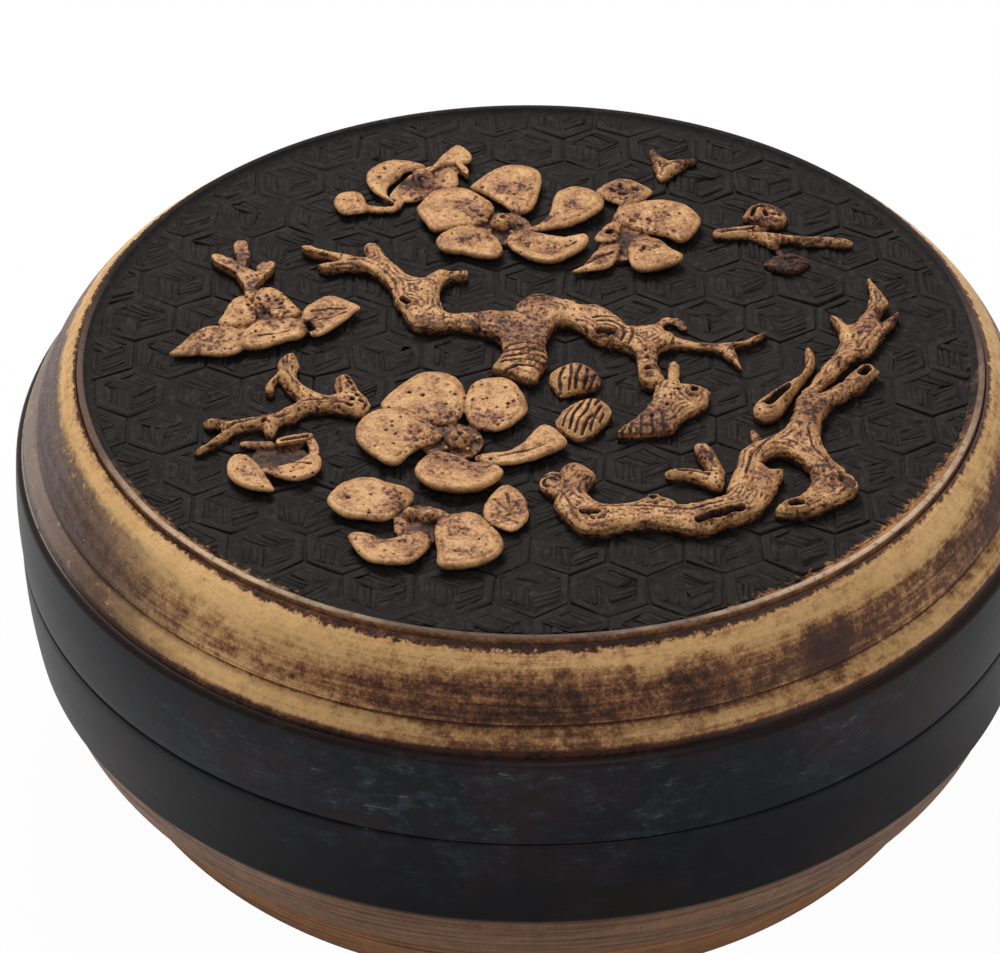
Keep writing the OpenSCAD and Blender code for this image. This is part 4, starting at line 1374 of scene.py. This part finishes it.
def make_right_twig(material):
    """The short twig at the back right, with a ringed bud and a dull one."""
    bar = [(14.2, 15.3), (14.5, 15.8), (15.6, 15.9), (16.8, 16.3), (17.9, 16.3), (18.1, 15.9), (17.6, 15.5),
           (17.7, 15), (16.7, 14.9), (15.9, 14.9), (14.9, 14.9), (14.3, 15)]
    spike = [(16.8, 15.1), (18, 15.4), (18.9, 15.2), (19.6, 15.1), (21.4, 14.8), (23.1, 14.7), (24.4, 14.5),
             (25.1, 13.9), (24.7, 13.7), (23.1, 13.9), (21.3, 14), (20, 14.4), (19.5, 14.3), (19.2, 13.6),
             (18.8, 13.5), (18.3, 14), (17.4, 14.7)]
    ring_bud = [(16.7, 17.5), (16.9, 18.1), (17.4, 19), (18.4, 19.3), (19.4, 18.8), (20, 18), (20.1, 17.2),
                (19.7, 16.5), (19, 16.3), (18.3, 16.5), (17.6, 17)]
    dull_bud = [(18.1, 11.6), (18.7, 12.2), (19.7, 12.6), (20, 12.9), (20.4, 12.7), (21, 12.3),
                (21.6, 11.8), (21.5, 11.4), (20.9, 10.7), (20.4, 10.4), (19.4, 10.4), (18.5, 10.9)]
    skin = Skin("right_twig", [
        slip(bar, 1.0), slip(spike, 1.0), slip(ring_bud, 1.05), slip(dull_bud, 0.8),
        limb([(18, 15.8, 0.8), (18.4, 16.8, 0.8)], 0.2), limb([(19.2, 13.8, 0.7), (19.8, 12.4, 0.7)], 0.15),
    ], twig_uneven)
    skin.round_over([bar, spike, ring_bud, dull_bud], 0.4, 0.7)
    skin.bark(0.4, 0.06)
    skin.gouge([(17.4, 17.5), (17.7, 18.4), (18.6, 18.7), (19.4, 18.1)], 0.4, 0.4)
    skin.gouge([(18.4, 17.8), (18.5, 17.2)], 0.45, 0.5)
    skin.gouge([(18.9, 17.4), (19.5, 17.3)], 0.35, 0.35)
    skin.gouge([(15, 15.3), (16.4, 15.4), (17.6, 15.5)], 0.3, 0.25)
    skin.gouge([(18.6, 12), (19.6, 11.6), (20.8, 11.9)], 0.36, 0.3)
    skin.gouge([(20.6, 11.8), (21.3, 11.6)], 0.3, 0.3)
    skin.rub(19.9, 11.6, 2.4, 0.8)
    skin.rub(18.4, 17.6, 1.8, 0.3)
    skin.pits(4, 70, (0.12, 0.2), 0.1)
    skin.finish("branch_gilt", material)


def make_corner_twig(material):
    """The small forked twig at the back."""
    twig = [(9.6, 27), (10, 27.2), (10.5, 26.2), (11.2, 25.5), (12, 25.7), (12.8, 25.8), (13.4, 25.8),
            (12.6, 25.1), (11.7, 24.1), (10.8, 23), (10.3, 22.9), (10, 24.1), (9.8, 25.7)]
    skin = Skin("corner_twig", [slip(twig, 0.9)], twig_uneven)
    skin.round_over([twig], 0.4, 0.6)
    skin.gouge([(10, 26.4), (10.4, 24.8), (10.6, 23.6)], 0.26, 0.1)
    skin.rub(10.2, 26.4, 1.6, 0.6)
    skin.rub(12.6, 25.4, 1.4, 0.5)
    skin.pits(5, 26, (0.12, 0.2), 0.1)
    skin.finish("branch_gilt", material)


def make_leaf_twig(material):
    """The two small leaves beside the lower branch."""
    upper = [(11.9, -12.1), (12.5, -11.9), (13.2, -12.6), (13.7, -14.3), (14, -15.6), (13.2, -16),
             (12.7, -14.8), (12.1, -13.5)]
    lower = [(9.6, -15.4), (10.2, -15), (11.5, -15), (12.7, -15.3), (13.7, -15.4), (13.9, -16.6),
             (13.6, -17.2), (13, -17.1), (12.1, -16.4), (10.8, -15.9), (9.9, -15.9)]
    skin = Skin("leaf_twig", [slip(upper, 1.0), slip(lower, 1.0)], twig_uneven)
    skin.round_over([upper, lower], 0.35, 0.5)
    skin.gouge([(12.4, -12.6), (12.9, -13.8), (13.3, -15)], 0.4, 0.2)
    skin.rub(12.8, -13.6, 1.2, 0.3)
    skin.gouge([(10.6, -15.4), (11.8, -15.5), (12.8, -16)], 0.3, 0.16)
    skin.pits(6, 40, (0.12, 0.2), 0.12)
    skin.finish("branch_gilt", material)


def make_drop_twig(material):
    """The drop between the two branches."""
    drop = [(20.6, -0.3), (20.9, -0.2), (21.2, -0.9), (21.2, -2.2), (20.7, -3.5), (19.9, -5), (19.2, -6.6),
            (18.5, -8), (17.8, -8.8), (16.9, -8.9), (16.4, -8.4), (16.4, -7.6), (16.9, -6.7), (17.9, -5.8),
            (19, -4.7), (20, -3.6), (20.5, -2.2)]
    skin = Skin("drop_twig", [slip(drop, 1.2)], [(hand_marks, 0.15)])
    skin.round_over([drop], 0.35, 0.5)
    skin.gouge([(17.5, -7.6), (18.1, -6.8), (18.9, -5.6)], 0.75, 0.5, 0.12)
    skin.gouge([(20.7, -2), (19.8, -4.2)], 0.24, 0.16)
    skin.pits(7, 20, (0.12, 0.2), 0.1)
    skin.finish("branch_gilt", material)


# Blossoms and buds

def make_back_blossom(material):
    """The open blossom at the back."""
    heart = (-2.1, 16.4)
    skin = Skin("back_blossom", [
        petal([(-4.5, 21.2), (-4, 21.8), (-3.2, 22.6), (-2.1, 23.3), (-0.7, 23.4), (0.4, 23), (0.8, 22.2),
               (0.6, 20.6), (0.2, 19), (-0.4, 18.3), (-1.4, 18.6), (-2.6, 19.8), (-3.8, 20.8)], 1.29,
              heart),
        petal([(-8.6, 18), (-8.4, 18.7), (-7.5, 19.8), (-6.5, 20.2), (-5.3, 20.2), (-4.2, 19.7),
               (-3.1, 18.8), (-3, 18), (-3.5, 17.2), (-4, 16.6), (-6.2, 16), (-7.1, 15.7), (-7.6, 15.8),
               (-8.1, 16.8)], 1.29, heart),
        petal([(-7.1, 13.8), (-6.7, 14.4), (-5.7, 15), (-4.3, 15.2), (-3.2, 14.8), (-2.4, 13.7),
               (-2.3, 12.6), (-2.9, 12.1), (-4.1, 12.2), (-5.3, 12.6), (-6.4, 12.7), (-6.9, 13.2)], 1.21,
              heart, 0.2),
        petal([(-1.6, 13.6), (-1.4, 14.2), (-0.6, 14.6), (0.6, 14.4), (2, 14), (3.2, 14), (4.1, 14.2),
               (4.4, 13.7), (4, 13), (3.1, 12.2), (2, 11.5), (0.8, 11.6), (-0.3, 12.1), (-1.2, 12.9)], 1.21,
              heart, 0.15, 0.5),
        petal([(-0.4, 15.9), (0.8, 16.6), (1.6, 17.8), (1.9, 19.2), (2.3, 20), (3.4, 20.5), (4.4, 20.3),
               (5.3, 19.7), (5.7, 19), (5.4, 18.2), (4.5, 17.3), (3.3, 16.5), (2.1, 16.1), (0.6, 15.8)],
              1.25, heart),
        round_pad(-2, 16.2, 4.4, pad_h), *blossom_heart(*heart),
    ], petal_uneven)
    skin.gouge([(-2.1, 16.4)], 0.6, 0.3)
    for place in [(-4.6, 17.6), (-5.2, 18.6), (-1.2, 19.6), (-0.4, 21), (-2, 20.8), (-3.4, 14.2),
                  (-5, 13.6), (1.6, 17.2), (3.4, 18.4), (-0.6, 13.9), (1.6, 12.8)]:
        skin.rub(*place, 0.9, 0.26)
    skin.pits(11, 50, (0.1, 0.2), 0.1, heart, 3.6)
    # Darkens the low pad round the heart: rubbed gilding, and painted shade in the gaps between the petals
    skin.rub(-2, 16.2, 2.4, 0.75, 0.85)
    skin.finish("petal_gilt", material)


def make_back_right_blossom(material):
    """The closer blossom beside it, with a petal apart."""
    heart = (7.6, 14.9)
    skin = Skin("back_right_blossom", [
        petal([(6.7, 17), (7, 17.4), (7.7, 18), (9, 18.4), (10.6, 18.5), (12, 18.1), (12.8, 17.3),
               (13.2, 16.6), (12.8, 15.4), (12.2, 14.5), (11.4, 14.3), (10.6, 14.9), (9.4, 15.3),
               (8.4, 15.8), (7.5, 16.3)], 1.29, heart),
        petal([(7.8, 12.7), (8.2, 13.6), (9, 13.9), (10.1, 13.4), (10.8, 12.6), (11.5, 12.1), (11.6, 11.6),
               (10.8, 10.9), (9.5, 10.4), (8.5, 10.3), (7.9, 11)], 1.25, heart),
        petal([(3.3, 10.4), (4.3, 11.2), (5.1, 12.4), (6, 12.9), (6.8, 13), (6.9, 12.5), (6.4, 11.4),
               (5.8, 10.8), (4.5, 10.5)], 0.94, heart, 0.1, 0.2),
        petal([(5.2, 14.7), (5.6, 15.4), (6.3, 15.9), (6.9, 15.8), (6.9, 15.1), (6.5, 14.4), (5.6, 14.3)],
              0.94, heart, 0.1, 0.1),
        petal([(5.4, 21), (6, 21.5), (6.9, 21.9), (7.8, 21.9), (8.8, 21.5), (9.6, 21.1), (9.3, 20.6),
               (8.6, 20.1), (7.6, 19.8), (6.6, 20), (5.9, 20.5)], 0.94, heart, 0.2, 0.05),
        slip([(5, 12.2), (6, 15.5), (7.2, 20), (8.2, 20.4), (8.8, 17), (9.4, 13), (7, 11.8)], pad_h),
    ], petal_uneven)
    for path in [[(6.4, 21.3), (6.7, 20.9)], [(7.2, 21.7), (7.3, 21.2)], [(8.2, 21.3), (8.5, 21)],
                 [(7.1, 20.6), (7.6, 20.5)]]:
        skin.gouge(path, 0.4, 0.3)
    skin.rub(7.5, 21, 1.5, 0.35)
    skin.gouge([(6.1, 15), (6.3, 15.2)], 0.6, 0.5, 0.1)
    skin.gouge([(7.9, 16.6), (8.2, 16.5)], 0.4, 0.25)
    skin.gouge([(9.2, 16.6), (9.4, 16.4)], 0.36, 0.22)
    for place in [(8.4, 17), (9, 16.2), (10.2, 16.8), (9.2, 12.6), (5.2, 11.6)]:
        skin.rub(*place, 0.8, 0.26)
    skin.gouge([(8.9, 12.8), (8.6, 12.3)], 0.4, 0.22)
    skin.gouge([(4.4, 11), (5.4, 11.9), (6.4, 12.5)], 0.3, 0.2)
    skin.pits(13, 40, (0.1, 0.2), 0.1, (8.4, 14.6), 3.2)
    # Darkens the low pad round the heart: rubbed gilding, and painted shade in the gaps between the petals
    skin.rub(7.3, 14.2, 2.2, 0.7, 0.75)
    skin.finish("petal_gilt", material)


def make_back_left_buds(material):
    """The opening buds at the back left."""
    heart = (-8.6, 21.5)
    skin = Skin("back_left_buds", [
        petal([(-12.7, 22.7), (-12.5, 23.4), (-11.6, 24.2), (-10.5, 24.5), (-9.2, 24.3), (-8.4, 23.9),
               (-9.2, 23.6), (-9.9, 23.4), (-10.3, 22.7), (-11, 22), (-11.1, 20.8), (-10.5, 19.9),
               (-11.3, 20.4), (-12.1, 21.1), (-12.6, 22)], 1.09, heart, 0.2, 0.15),
        petal([(-9.1, 22.8), (-8.8, 23.3), (-8, 23.3), (-7.6, 22.6), (-7.6, 22.1), (-8.1, 21.9),
               (-8.7, 22.2)], 0.94, heart, 0.0, 0.1),
        petal([(-10.1, 21.2), (-9.6, 21.4), (-8.9, 21.2), (-8.1, 20.7), (-8.9, 20.3), (-9.8, 20.3)], 0.78,
              heart, 0.0, 0.1),
        petal([(-7.6, 22.2), (-7.2, 23.1), (-6.5, 23.7), (-5.9, 23.3), (-5.8, 22.3), (-6.4, 21.9),
               (-7.2, 21.9)], 0.86, heart, 0.0, 0.2),
        petal([(-7.8, 23.9), (-7.5, 24.8), (-6.8, 25.8), (-5.8, 26.6), (-5.2, 26.3), (-4.7, 25.7),
               (-4.8, 25.2), (-5.4, 25), (-6.6, 24.9), (-7.5, 24.3)], 1.09, heart, 0.2, 0.1),
        slip([(-5.8, 25), (-5.2, 24.8), (-4.8, 23.9), (-4.9, 23.3), (-5.4, 24)], 0.8),
        petal([(-15.2, 19.5), (-14.8, 20.1), (-14, 20.3), (-13.3, 20.1), (-12.9, 19.3), (-12.8, 18.7),
               (-13.1, 18.5), (-14.2, 18.3), (-14.8, 18.6)], 0.9, heart, 0.0, 0.1),
        limb([(-13.2, 19.1, 0.9), (-11.6, 18.8, 0.7), (-10.4, 19, 0.7), (-10.1, 20.4, 0.7)], 0.3),
        slip([(-11, 20.5), (-9.4, 23.8), (-7.2, 25.2), (-5.4, 25.2), (-5.6, 24), (-6.2, 22.2),
              (-8.5, 20.6)], pad_h),
    ], petal_uneven)
    skin.rings(-8.4, 22.6, [0.32], 0.3, 0.3, 0, 250)
    skin.rub(-8.6, 22, 1.5, 0.6)
    skin.rub(-9.6, 22.6, 0.7, 0.9)
    skin.pits(15, 24, (0.1, 0.18), 0.1)
    skin.finish("petal_gilt", material)


def make_left_blossom(material):
    """The blossom at the left, with a forked tip behind it."""
    heart = (-20, 3.3)
    skin = Skin("left_blossom", [
        slip([(-24.6, 11.9), (-24.2, 12.2), (-23.7, 12), (-23, 11.5), (-22.4, 10.7), (-22.1, 9.8),
              (-22.5, 9.6), (-23.1, 10.2), (-24, 10.9), (-24.4, 11.4)], 0.9),
        slip([(-22.9, 13.1), (-22.7, 13.6), (-22.1, 13.7), (-21.8, 13.3), (-21.7, 12.3), (-21.5, 11.7),
              (-21.8, 10.9), (-21.9, 10), (-22.3, 10), (-22.5, 11), (-22.7, 12)], 1.05),
        slip([(-21, 10.2), (-20.6, 10.9), (-19.9, 11), (-19.6, 10.7), (-19.8, 10), (-20.3, 9.2),
              (-20.8, 9.2)], 1.0),
        slip([(-22.5, 9.5), (-21.9, 10.3), (-21.2, 9.6), (-20.6, 9.3), (-20.4, 8.8), (-20.8, 8.2),
              (-21, 7.4), (-21.1, 6.2), (-21.6, 6.2), (-21.9, 7.9), (-22.3, 8.8)], 1.0),
        petal([(-23.4, 3.4), (-23.1, 4.5), (-22.7, 5.4), (-21.9, 5.8), (-21.3, 5.6), (-21, 4.8), (-20.9, 4),
               (-21.4, 3.5), (-22.2, 3.2)], 1.01, heart, 0.1, 0.15),
        petal([(-21, 6.2), (-20.7, 6.7), (-20, 6.9), (-19.1, 6.6), (-18.4, 5.9), (-17.6, 5), (-17.7, 4.6),
               (-18.2, 4.2), (-19, 4.2), (-19.8, 4.7), (-20.4, 5.3)], 1.05, heart, 0.1, 0.2),
        petal([(-17.2, 3.5), (-17, 4.6), (-16.3, 5.3), (-15.3, 5.8), (-14.3, 5.5), (-13.1, 4.7),
               (-13.5, 4.2), (-14.1, 3.5), (-15, 2.6), (-15.7, 2), (-16.4, 1.9), (-16.7, 2.7)], 1.09, heart,
              0.1, 0.3),
        petal([(-21.8, 0.7), (-21.4, 1.7), (-20.6, 2.4), (-19.7, 2.7), (-18.5, 2.7), (-17.5, 2.5), (-17, 2),
               (-17.3, 1.3), (-18.3, 1), (-19.1, 0.6), (-20, 0.2), (-21, 0.1), (-21.6, 0.3)], 1.17, heart,
              0.0, 0.2),
        petal([(-26.9, -0.5), (-26.4, 0.2), (-25.4, 1.3), (-24.3, 1.9), (-23, 1.9), (-22, 1.5),
               (-21.6, 0.9), (-21.7, 0.1), (-22.3, -0.4), (-23.3, -0.6), (-24.6, -0.5), (-25.8, -0.6)],
              0.98, heart, 0.0, 0.1),
        slip([(-22.6, 1), (-22.6, 4), (-21.2, 6.4), (-18.8, 5), (-16.6, 3.6), (-16.8, 2.2), (-20, 1.2)],
             pad_h),
    ], [(hand_marks, 0.16), (bark_grain, 0.06)])
    skin.gouge([(-16.9, 3.1), (-16.5, 2.3)], 0.7, 0.9)
    skin.gouge([(-16.6, 4.5), (-15.2, 5), (-14, 4.8)], 0.24, 0.14)
    skin.gouge([(-16, 3.6), (-14.9, 3.8), (-14, 4.3)], 0.22, 0.14)
    skin.gouge([(-20.4, 1.2), (-19.2, 1.4), (-18.2, 1.7)], 0.3, 0.12)
    skin.gouge([(-16.2, 3.9)], 0.36, 0.25)
    for place in [(-24.2, 0.6, 2.2, 0.2), (-20.4, 4.5, 0.7, 0.9), (-19.4, 5.4, 1.1, 0.25),
                  (-22, 11, 2, 0.34), (-21.3, 7.6, 1.2, 0.3), (-16.6, 2.8, 0.9, 0.5),
                  (-19.4, 3.4, 0.9, 0.5), (-15.4, 4, 1.1, 0.2)]:
        skin.rub(*place)
    skin.pits(16, 40, (0.12, 0.24), 0.15, (-19.6, 5.2), 1.8)
    skin.pits(17, 40, (0.1, 0.18), 0.1)
    skin.finish("petal_gilt", material)


def make_half_blossom(material):
    """The half blossom at the front left."""
    heart = (-18.9, -12.8)
    skin = Skin("half_blossom", [
        petal([(-21.9, -15.3), (-21.8, -14.5), (-21.4, -14.1), (-20.6, -14.2), (-19.9, -14.8),
               (-19.4, -15.6), (-18.9, -16.6), (-18.7, -17.2), (-19.5, -17.2), (-20.4, -17), (-21.1, -16.6),
               (-21.7, -15.9)], 1.05, heart, 0.1, 0.1),
        petal([(-19.4, -14.9), (-18.4, -14.7), (-17.3, -14.5), (-16.3, -14), (-15.7, -13.8), (-15.4, -14.5),
               (-15.6, -15.3), (-16.3, -15.8), (-17.1, -16), (-18, -15.8), (-18.8, -15.4)], 1.09, heart,
              0.2, 0.2),
        slip([(-18.6, -11.7), (-17.6, -11.2), (-16.4, -10.9), (-15.9, -11.1), (-16.6, -11.7), (-17.6, -12),
              (-18.5, -12.2)], 0.9),
        slip([(-16.1, -14), (-15.5, -13.8), (-15.5, -12.2), (-15.9, -11.2), (-16.4, -11.4), (-16.2, -12.6)],
             0.7),
        limb([(-21.4, -11.6, 0.6), (-20.2, -11.7, 0.7), (-19.3, -11.9, 0.9), (-18.6, -11.8, 0.8)], 0.3),
        slip([(-20.4, -14.2), (-20, -12.2), (-18.3, -11.8), (-16.8, -11.8), (-16.2, -13.6), (-18, -14.8)],
             0.25),
    ], petal_uneven)
    skin.gouge([(-17.3, -14.3), (-16.6, -14.4), (-16, -14.6)], 0.26, 0.12)
    skin.gouge([(-18.2, -11.8), (-17.2, -11.5), (-16.4, -11.3)], 0.3, 0.2)
    # Darkens the low parts between the bar and the petals: rubbed gilding, and painted shade in the dip
    # there
    for place in [(-18.2, -13.2, 2, 0.9), (-17, -11.5, 1.2, 0.25), (-15.8, -12.6, 1, 0.5)]:
        skin.rub(*place, 0.75)
    skin.rub(-20.6, -15.4, 0.9, 0.16)
    skin.rub(-18.8, -14.9, 0.5, 0.4)
    skin.pits(18, 16, (0.1, 0.18), 0.1)
    skin.finish("petal_gilt", material)


def make_front_blossom(material):
    """The open blossom in front of the middle."""
    heart = (-5.3, -11.6)
    skin = Skin("front_blossom", [
        petal([(-10.9, -7.5), (-10.2, -6.1), (-9, -4.9), (-7.6, -4.2), (-6.1, -4.5), (-5.2, -5.5),
               (-5.1, -7.1), (-5.4, -8.6), (-6.4, -9.2), (-7.7, -9.1), (-9.4, -8.4)], 1.21, heart),
        petal([(-12.7, -11.2), (-12.2, -9.8), (-10.8, -9), (-9.1, -9.2), (-7.8, -10), (-6.8, -11.1),
               (-7, -11.8), (-8.1, -12.4), (-8.9, -13.2), (-9.6, -14.2), (-10.5, -14.2), (-11.5, -13.4),
               (-12.3, -12.4)], 1.36, heart),
        petal([(-4.3, -5.8), (-3.2, -5.1), (-1.7, -5.2), (-0.7, -6.6), (-0.5, -8.1), (-1.5, -9.5),
               (-2.7, -10.1), (-3.9, -9.7), (-4.5, -9), (-4.7, -7.4)], 1.25, heart),
        petal([(-8.3, -15.5), (-7.9, -14.7), (-7, -13.8), (-5.8, -13.9), (-4.4, -14.7), (-2.9, -15),
               (-2.2, -15.7), (-2.6, -16.4), (-3.6, -17.2), (-5, -17.5), (-6.6, -17.3), (-7.8, -16.6)],
              1.36, heart, 0.3, 0.2),
        petal([(-4, -13.4), (-3.5, -12.9), (-1.8, -12.8), (-0.7, -12.1), (0.5, -10.8), (1.4, -10.9),
               (2.4, -12), (2, -12.6), (0.4, -13.5), (-1.5, -14.1), (-3.2, -14)], 1.17, heart, 0.25, 0.25),
        round_pad(-5.8, -11.4, 4.6, pad_h), *blossom_heart(*heart),
    ], petal_uneven)
    skin.gouge([(-5.2, -11.6)], 0.6, 0.3)
    for hole in [(-9, -6.2), (-8, -6.5), (-8.2, -11), (-5.6, -6.4), (-1.7, -7.6), (-1.3, -7.3)]:
        skin.gouge([hole], 0.34, 0.22)
    skin.gouge([(-2.4, -13.6), (-0.4, -13.1), (1, -12.3)], 0.2, 0.1)
    for place in [(-8.3, -10.9, 0.9), (-8.8, -12.2, 0.8), (-7.6, -11.4, 0.9), (-6.6, -8.2, 0.9),
                  (-7.8, -8.6, 0.8), (-5.9, -9, 0.8), (-3.6, -8.8, 0.9), (-2.6, -9.4, 0.7),
                  (-6.8, -14, 0.8), (-5.6, -14.3, 0.8), (-4.6, -14.9, 0.8), (-3.4, -15.4, 0.8)]:
        skin.rub(*place, 0.26)
    skin.pits(19, 80, (0.1, 0.2), 0.1, (-5.8, -10.8), 3.4)
    skin.pits(20, 14, (0.1, 0.16), 0.08)
    # Darkens the low pad round the heart: rubbed gilding, and painted shade in the gaps between the petals
    skin.rub(-5.6, -11.6, 2.6, 0.75, 0.85)
    skin.finish("petal_gilt", material)


def make_front_lower_blossom(material):
    """The blossom at the front edge."""
    heart = (-8, -20.8)
    skin = Skin("front_lower_blossom", [
        petal([(-14.5, -18.8), (-13.7, -17.7), (-11.9, -17.1), (-10.5, -17.5), (-8.9, -18), (-8.7, -18.7),
               (-9.6, -19.7), (-10.5, -20.6), (-11.9, -20.6), (-13.3, -20.4), (-14.2, -19.6)], 1.25, heart),
        petal([(-12.9, -23.6), (-12.4, -23.2), (-11.4, -23.3), (-10.5, -23.7), (-9.5, -23.4), (-8.5, -22.9),
               (-7.6, -23.2), (-7.4, -24), (-8, -24.9), (-8.8, -25.6), (-10.4, -25.7), (-11.8, -25.2)],
              1.09, heart, 0.2, 0.15),
        petal([(-6.8, -22.3), (-6, -21.4), (-4.3, -21.2), (-3.1, -22.3), (-2.2, -23.8), (-2.5, -25),
               (-3.6, -25.9), (-5.2, -26.3), (-6.5, -26), (-6.6, -24.6)], 1.29, heart),
        petal([(-3.2, -19), (-2, -17.6), (-0.8, -18.4), (-0.4, -20), (-0.7, -21), (-1.5, -21.8),
               (-2.6, -21.2), (-3.3, -20.3)], 0.86, heart, 0.2, 0.2),
        slip([(-9.6, -19.4), (-7.4, -19), (-5.6, -20.4), (-5.8, -22.4), (-7, -23.2), (-8.6, -23.2),
              (-9.8, -22)], pad_h),
        bead(-8.7, -20.3, 1.1, 1.2), bead(-7.4, -20.6, 1.5, 1.25),
    ], petal_uneven)
    for x, y, turn in [(-1.7, -18.6, 100), (-1.3, -19.4, 60), (-1.2, -20.2, 10), (-1.6, -20.9, -40),
                       (-2.3, -19, 130)]:
        way = (vein_half * math.cos(math.radians(turn)), vein_half * math.sin(math.radians(turn)))
        skin.gouge([(x - way[0], y - way[1]), (x + way[0], y + way[1])], 0.22, 0.09)
    for hole in [(-13.2, -18.9), (-10.9, -23.3), (-9.4, -23.6)]:
        skin.gouge([hole], 0.4, 0.22)
    for place in [(-9.9, -18.4, 0.8), (-9.8, -19.3, 0.8), (-10.3, -20, 0.7), (-5.4, -22.2, 0.7),
                  (-5.7, -23, 0.7), (-4.9, -22.7, 0.6), (-4.5, -25.3, 0.8), (-10.6, -23.4, 0.7),
                  (-9.2, -23.4, 0.8), (-8.3, -23.3, 0.6), (-1.6, -19.6, 1.4), (-2.2, -20.6, 1),
                  (-13.4, -19, 0.5)]:
        skin.rub(*place, 0.26)
    skin.pits(21, 50, (0.1, 0.2), 0.1, (-7.6, -21), 3.2)
    skin.pits(22, 10, (0.1, 0.16), 0.08)
    # Darkens the low pad round the heart: rubbed gilding, and painted shade in the gaps between the petals
    skin.rub(-7.4, -21.8, 2, 0.75, 0.85)
    skin.finish("petal_gilt", material)


def make_striped_bud(node, outline, high, stripes, seed, material, rubbed=()):
    """A closed bud with wavy dark lines along it."""
    skin = Skin(node, [slip(outline, high)], [(hand_marks, 0.3)])
    skin.round_over([outline], 0.55, 1.7)
    for path, width in stripes:
        skin.gouge(path, width, 0.22, 0.05)
    skin.pits(seed, 14, (0.1, 0.18), 0.1)
    for place in rubbed:
        skin.rub(*place)
    skin.finish("branch_gilt", material, skirt=0.3)


def make_striped_buds(material):
    """The two closed buds beside the trunk."""
    outline = [(1.4, -3.7), (1.9, -2.6), (3.1, -1.9), (4.3, -2.3), (5, -3.4), (5.1, -4.6), (4.1, -5.2),
               (2.8, -5.6), (2, -5.6)]
    stripes = [([(2.2, -5.4), (2.1, -4.4), (2.5, -3)], 0.3),
               ([(2.8, -5.4), (3, -4.2), (3, -2.8)], 0.22),
               ([(3.3, -5.2), (3.4, -4.2), (3.8, -2.8)], 0.3),
               ([(3.9, -5.1), (4.2, -4.3), (4.2, -3.2)], 0.3),
               ([(4.4, -5), (4.7, -4.3), (4.8, -3.6)], 0.25)]
    make_striped_bud("upper_striped_bud", outline, 1.35, stripes, 23, material, [(4.4, -4.2, 1.1, 0.3)])
    outline = [(1.8, -9.5), (2.3, -8), (3.4, -6.8), (4.8, -6.5), (5.7, -7.3), (5.8, -8.5), (5, -10),
               (3.7, -11.3), (2.6, -10.7)]
    stripes = [([(2.3, -10), (2.6, -9), (3.5, -7.4)], 0.2),
               ([(2.8, -10.4), (3.1, -9.2), (3.7, -8.2), (4, -7)], 0.26),
               ([(3.2, -10.8), (3.5, -9.8), (4.1, -8.8), (4.5, -7)], 0.22),
               ([(3.7, -11), (4.1, -9.8), (4.5, -9.2)], 0.28),
               ([(4.3, -10.5), (4.6, -9.4), (5.2, -8)], 0.22),
               ([(4.7, -8.2), (5, -7.2)], 0.26),
               ([(5, -9.6), (5.3, -8.8)], 0.2)]
    make_striped_bud("lower_striped_bud", outline, 1.45, stripes, 24, material)


# The whole box

add_camera()
add_room()
add_lamp("key_light", (-70, 200, 340), (0, 0, 30), 170, 1.15)
add_lamp("fill_light", (60, -330, 330), (0, 0, 25), 260, 0.34)

gilt_finish = worn_gilt_group()
lacquer_finish = black_lacquer_group()
black_wall = wall_material(lacquer_finish)
black_inside = inside_material(lacquer_finish)
foot_brown = foot_material(gilt_finish)
branch_gilt = carving_material("branch_gilt", gilt_finish)
petal_gilt = carving_material("petal_gilt", gilt_finish)

make_foot(foot_brown, black_inside)
make_bowl(black_wall, foot_brown, black_inside)
make_collar(black_inside)
make_lid(black_wall, lid_gilt_material(gilt_finish), black_inside)
make_panel(panel_material(gilt_finish))

for make_branch in (make_main_branch, make_lower_branch, make_left_twig, make_right_twig, make_corner_twig,
                    make_leaf_twig, make_drop_twig):
    make_branch(branch_gilt)
for make_blossom in (make_back_blossom, make_back_right_blossom, make_back_left_buds, make_left_blossom,
                     make_half_blossom, make_front_blossom, make_front_lower_blossom):
    make_blossom(petal_gilt)
make_striped_buds(branch_gilt)
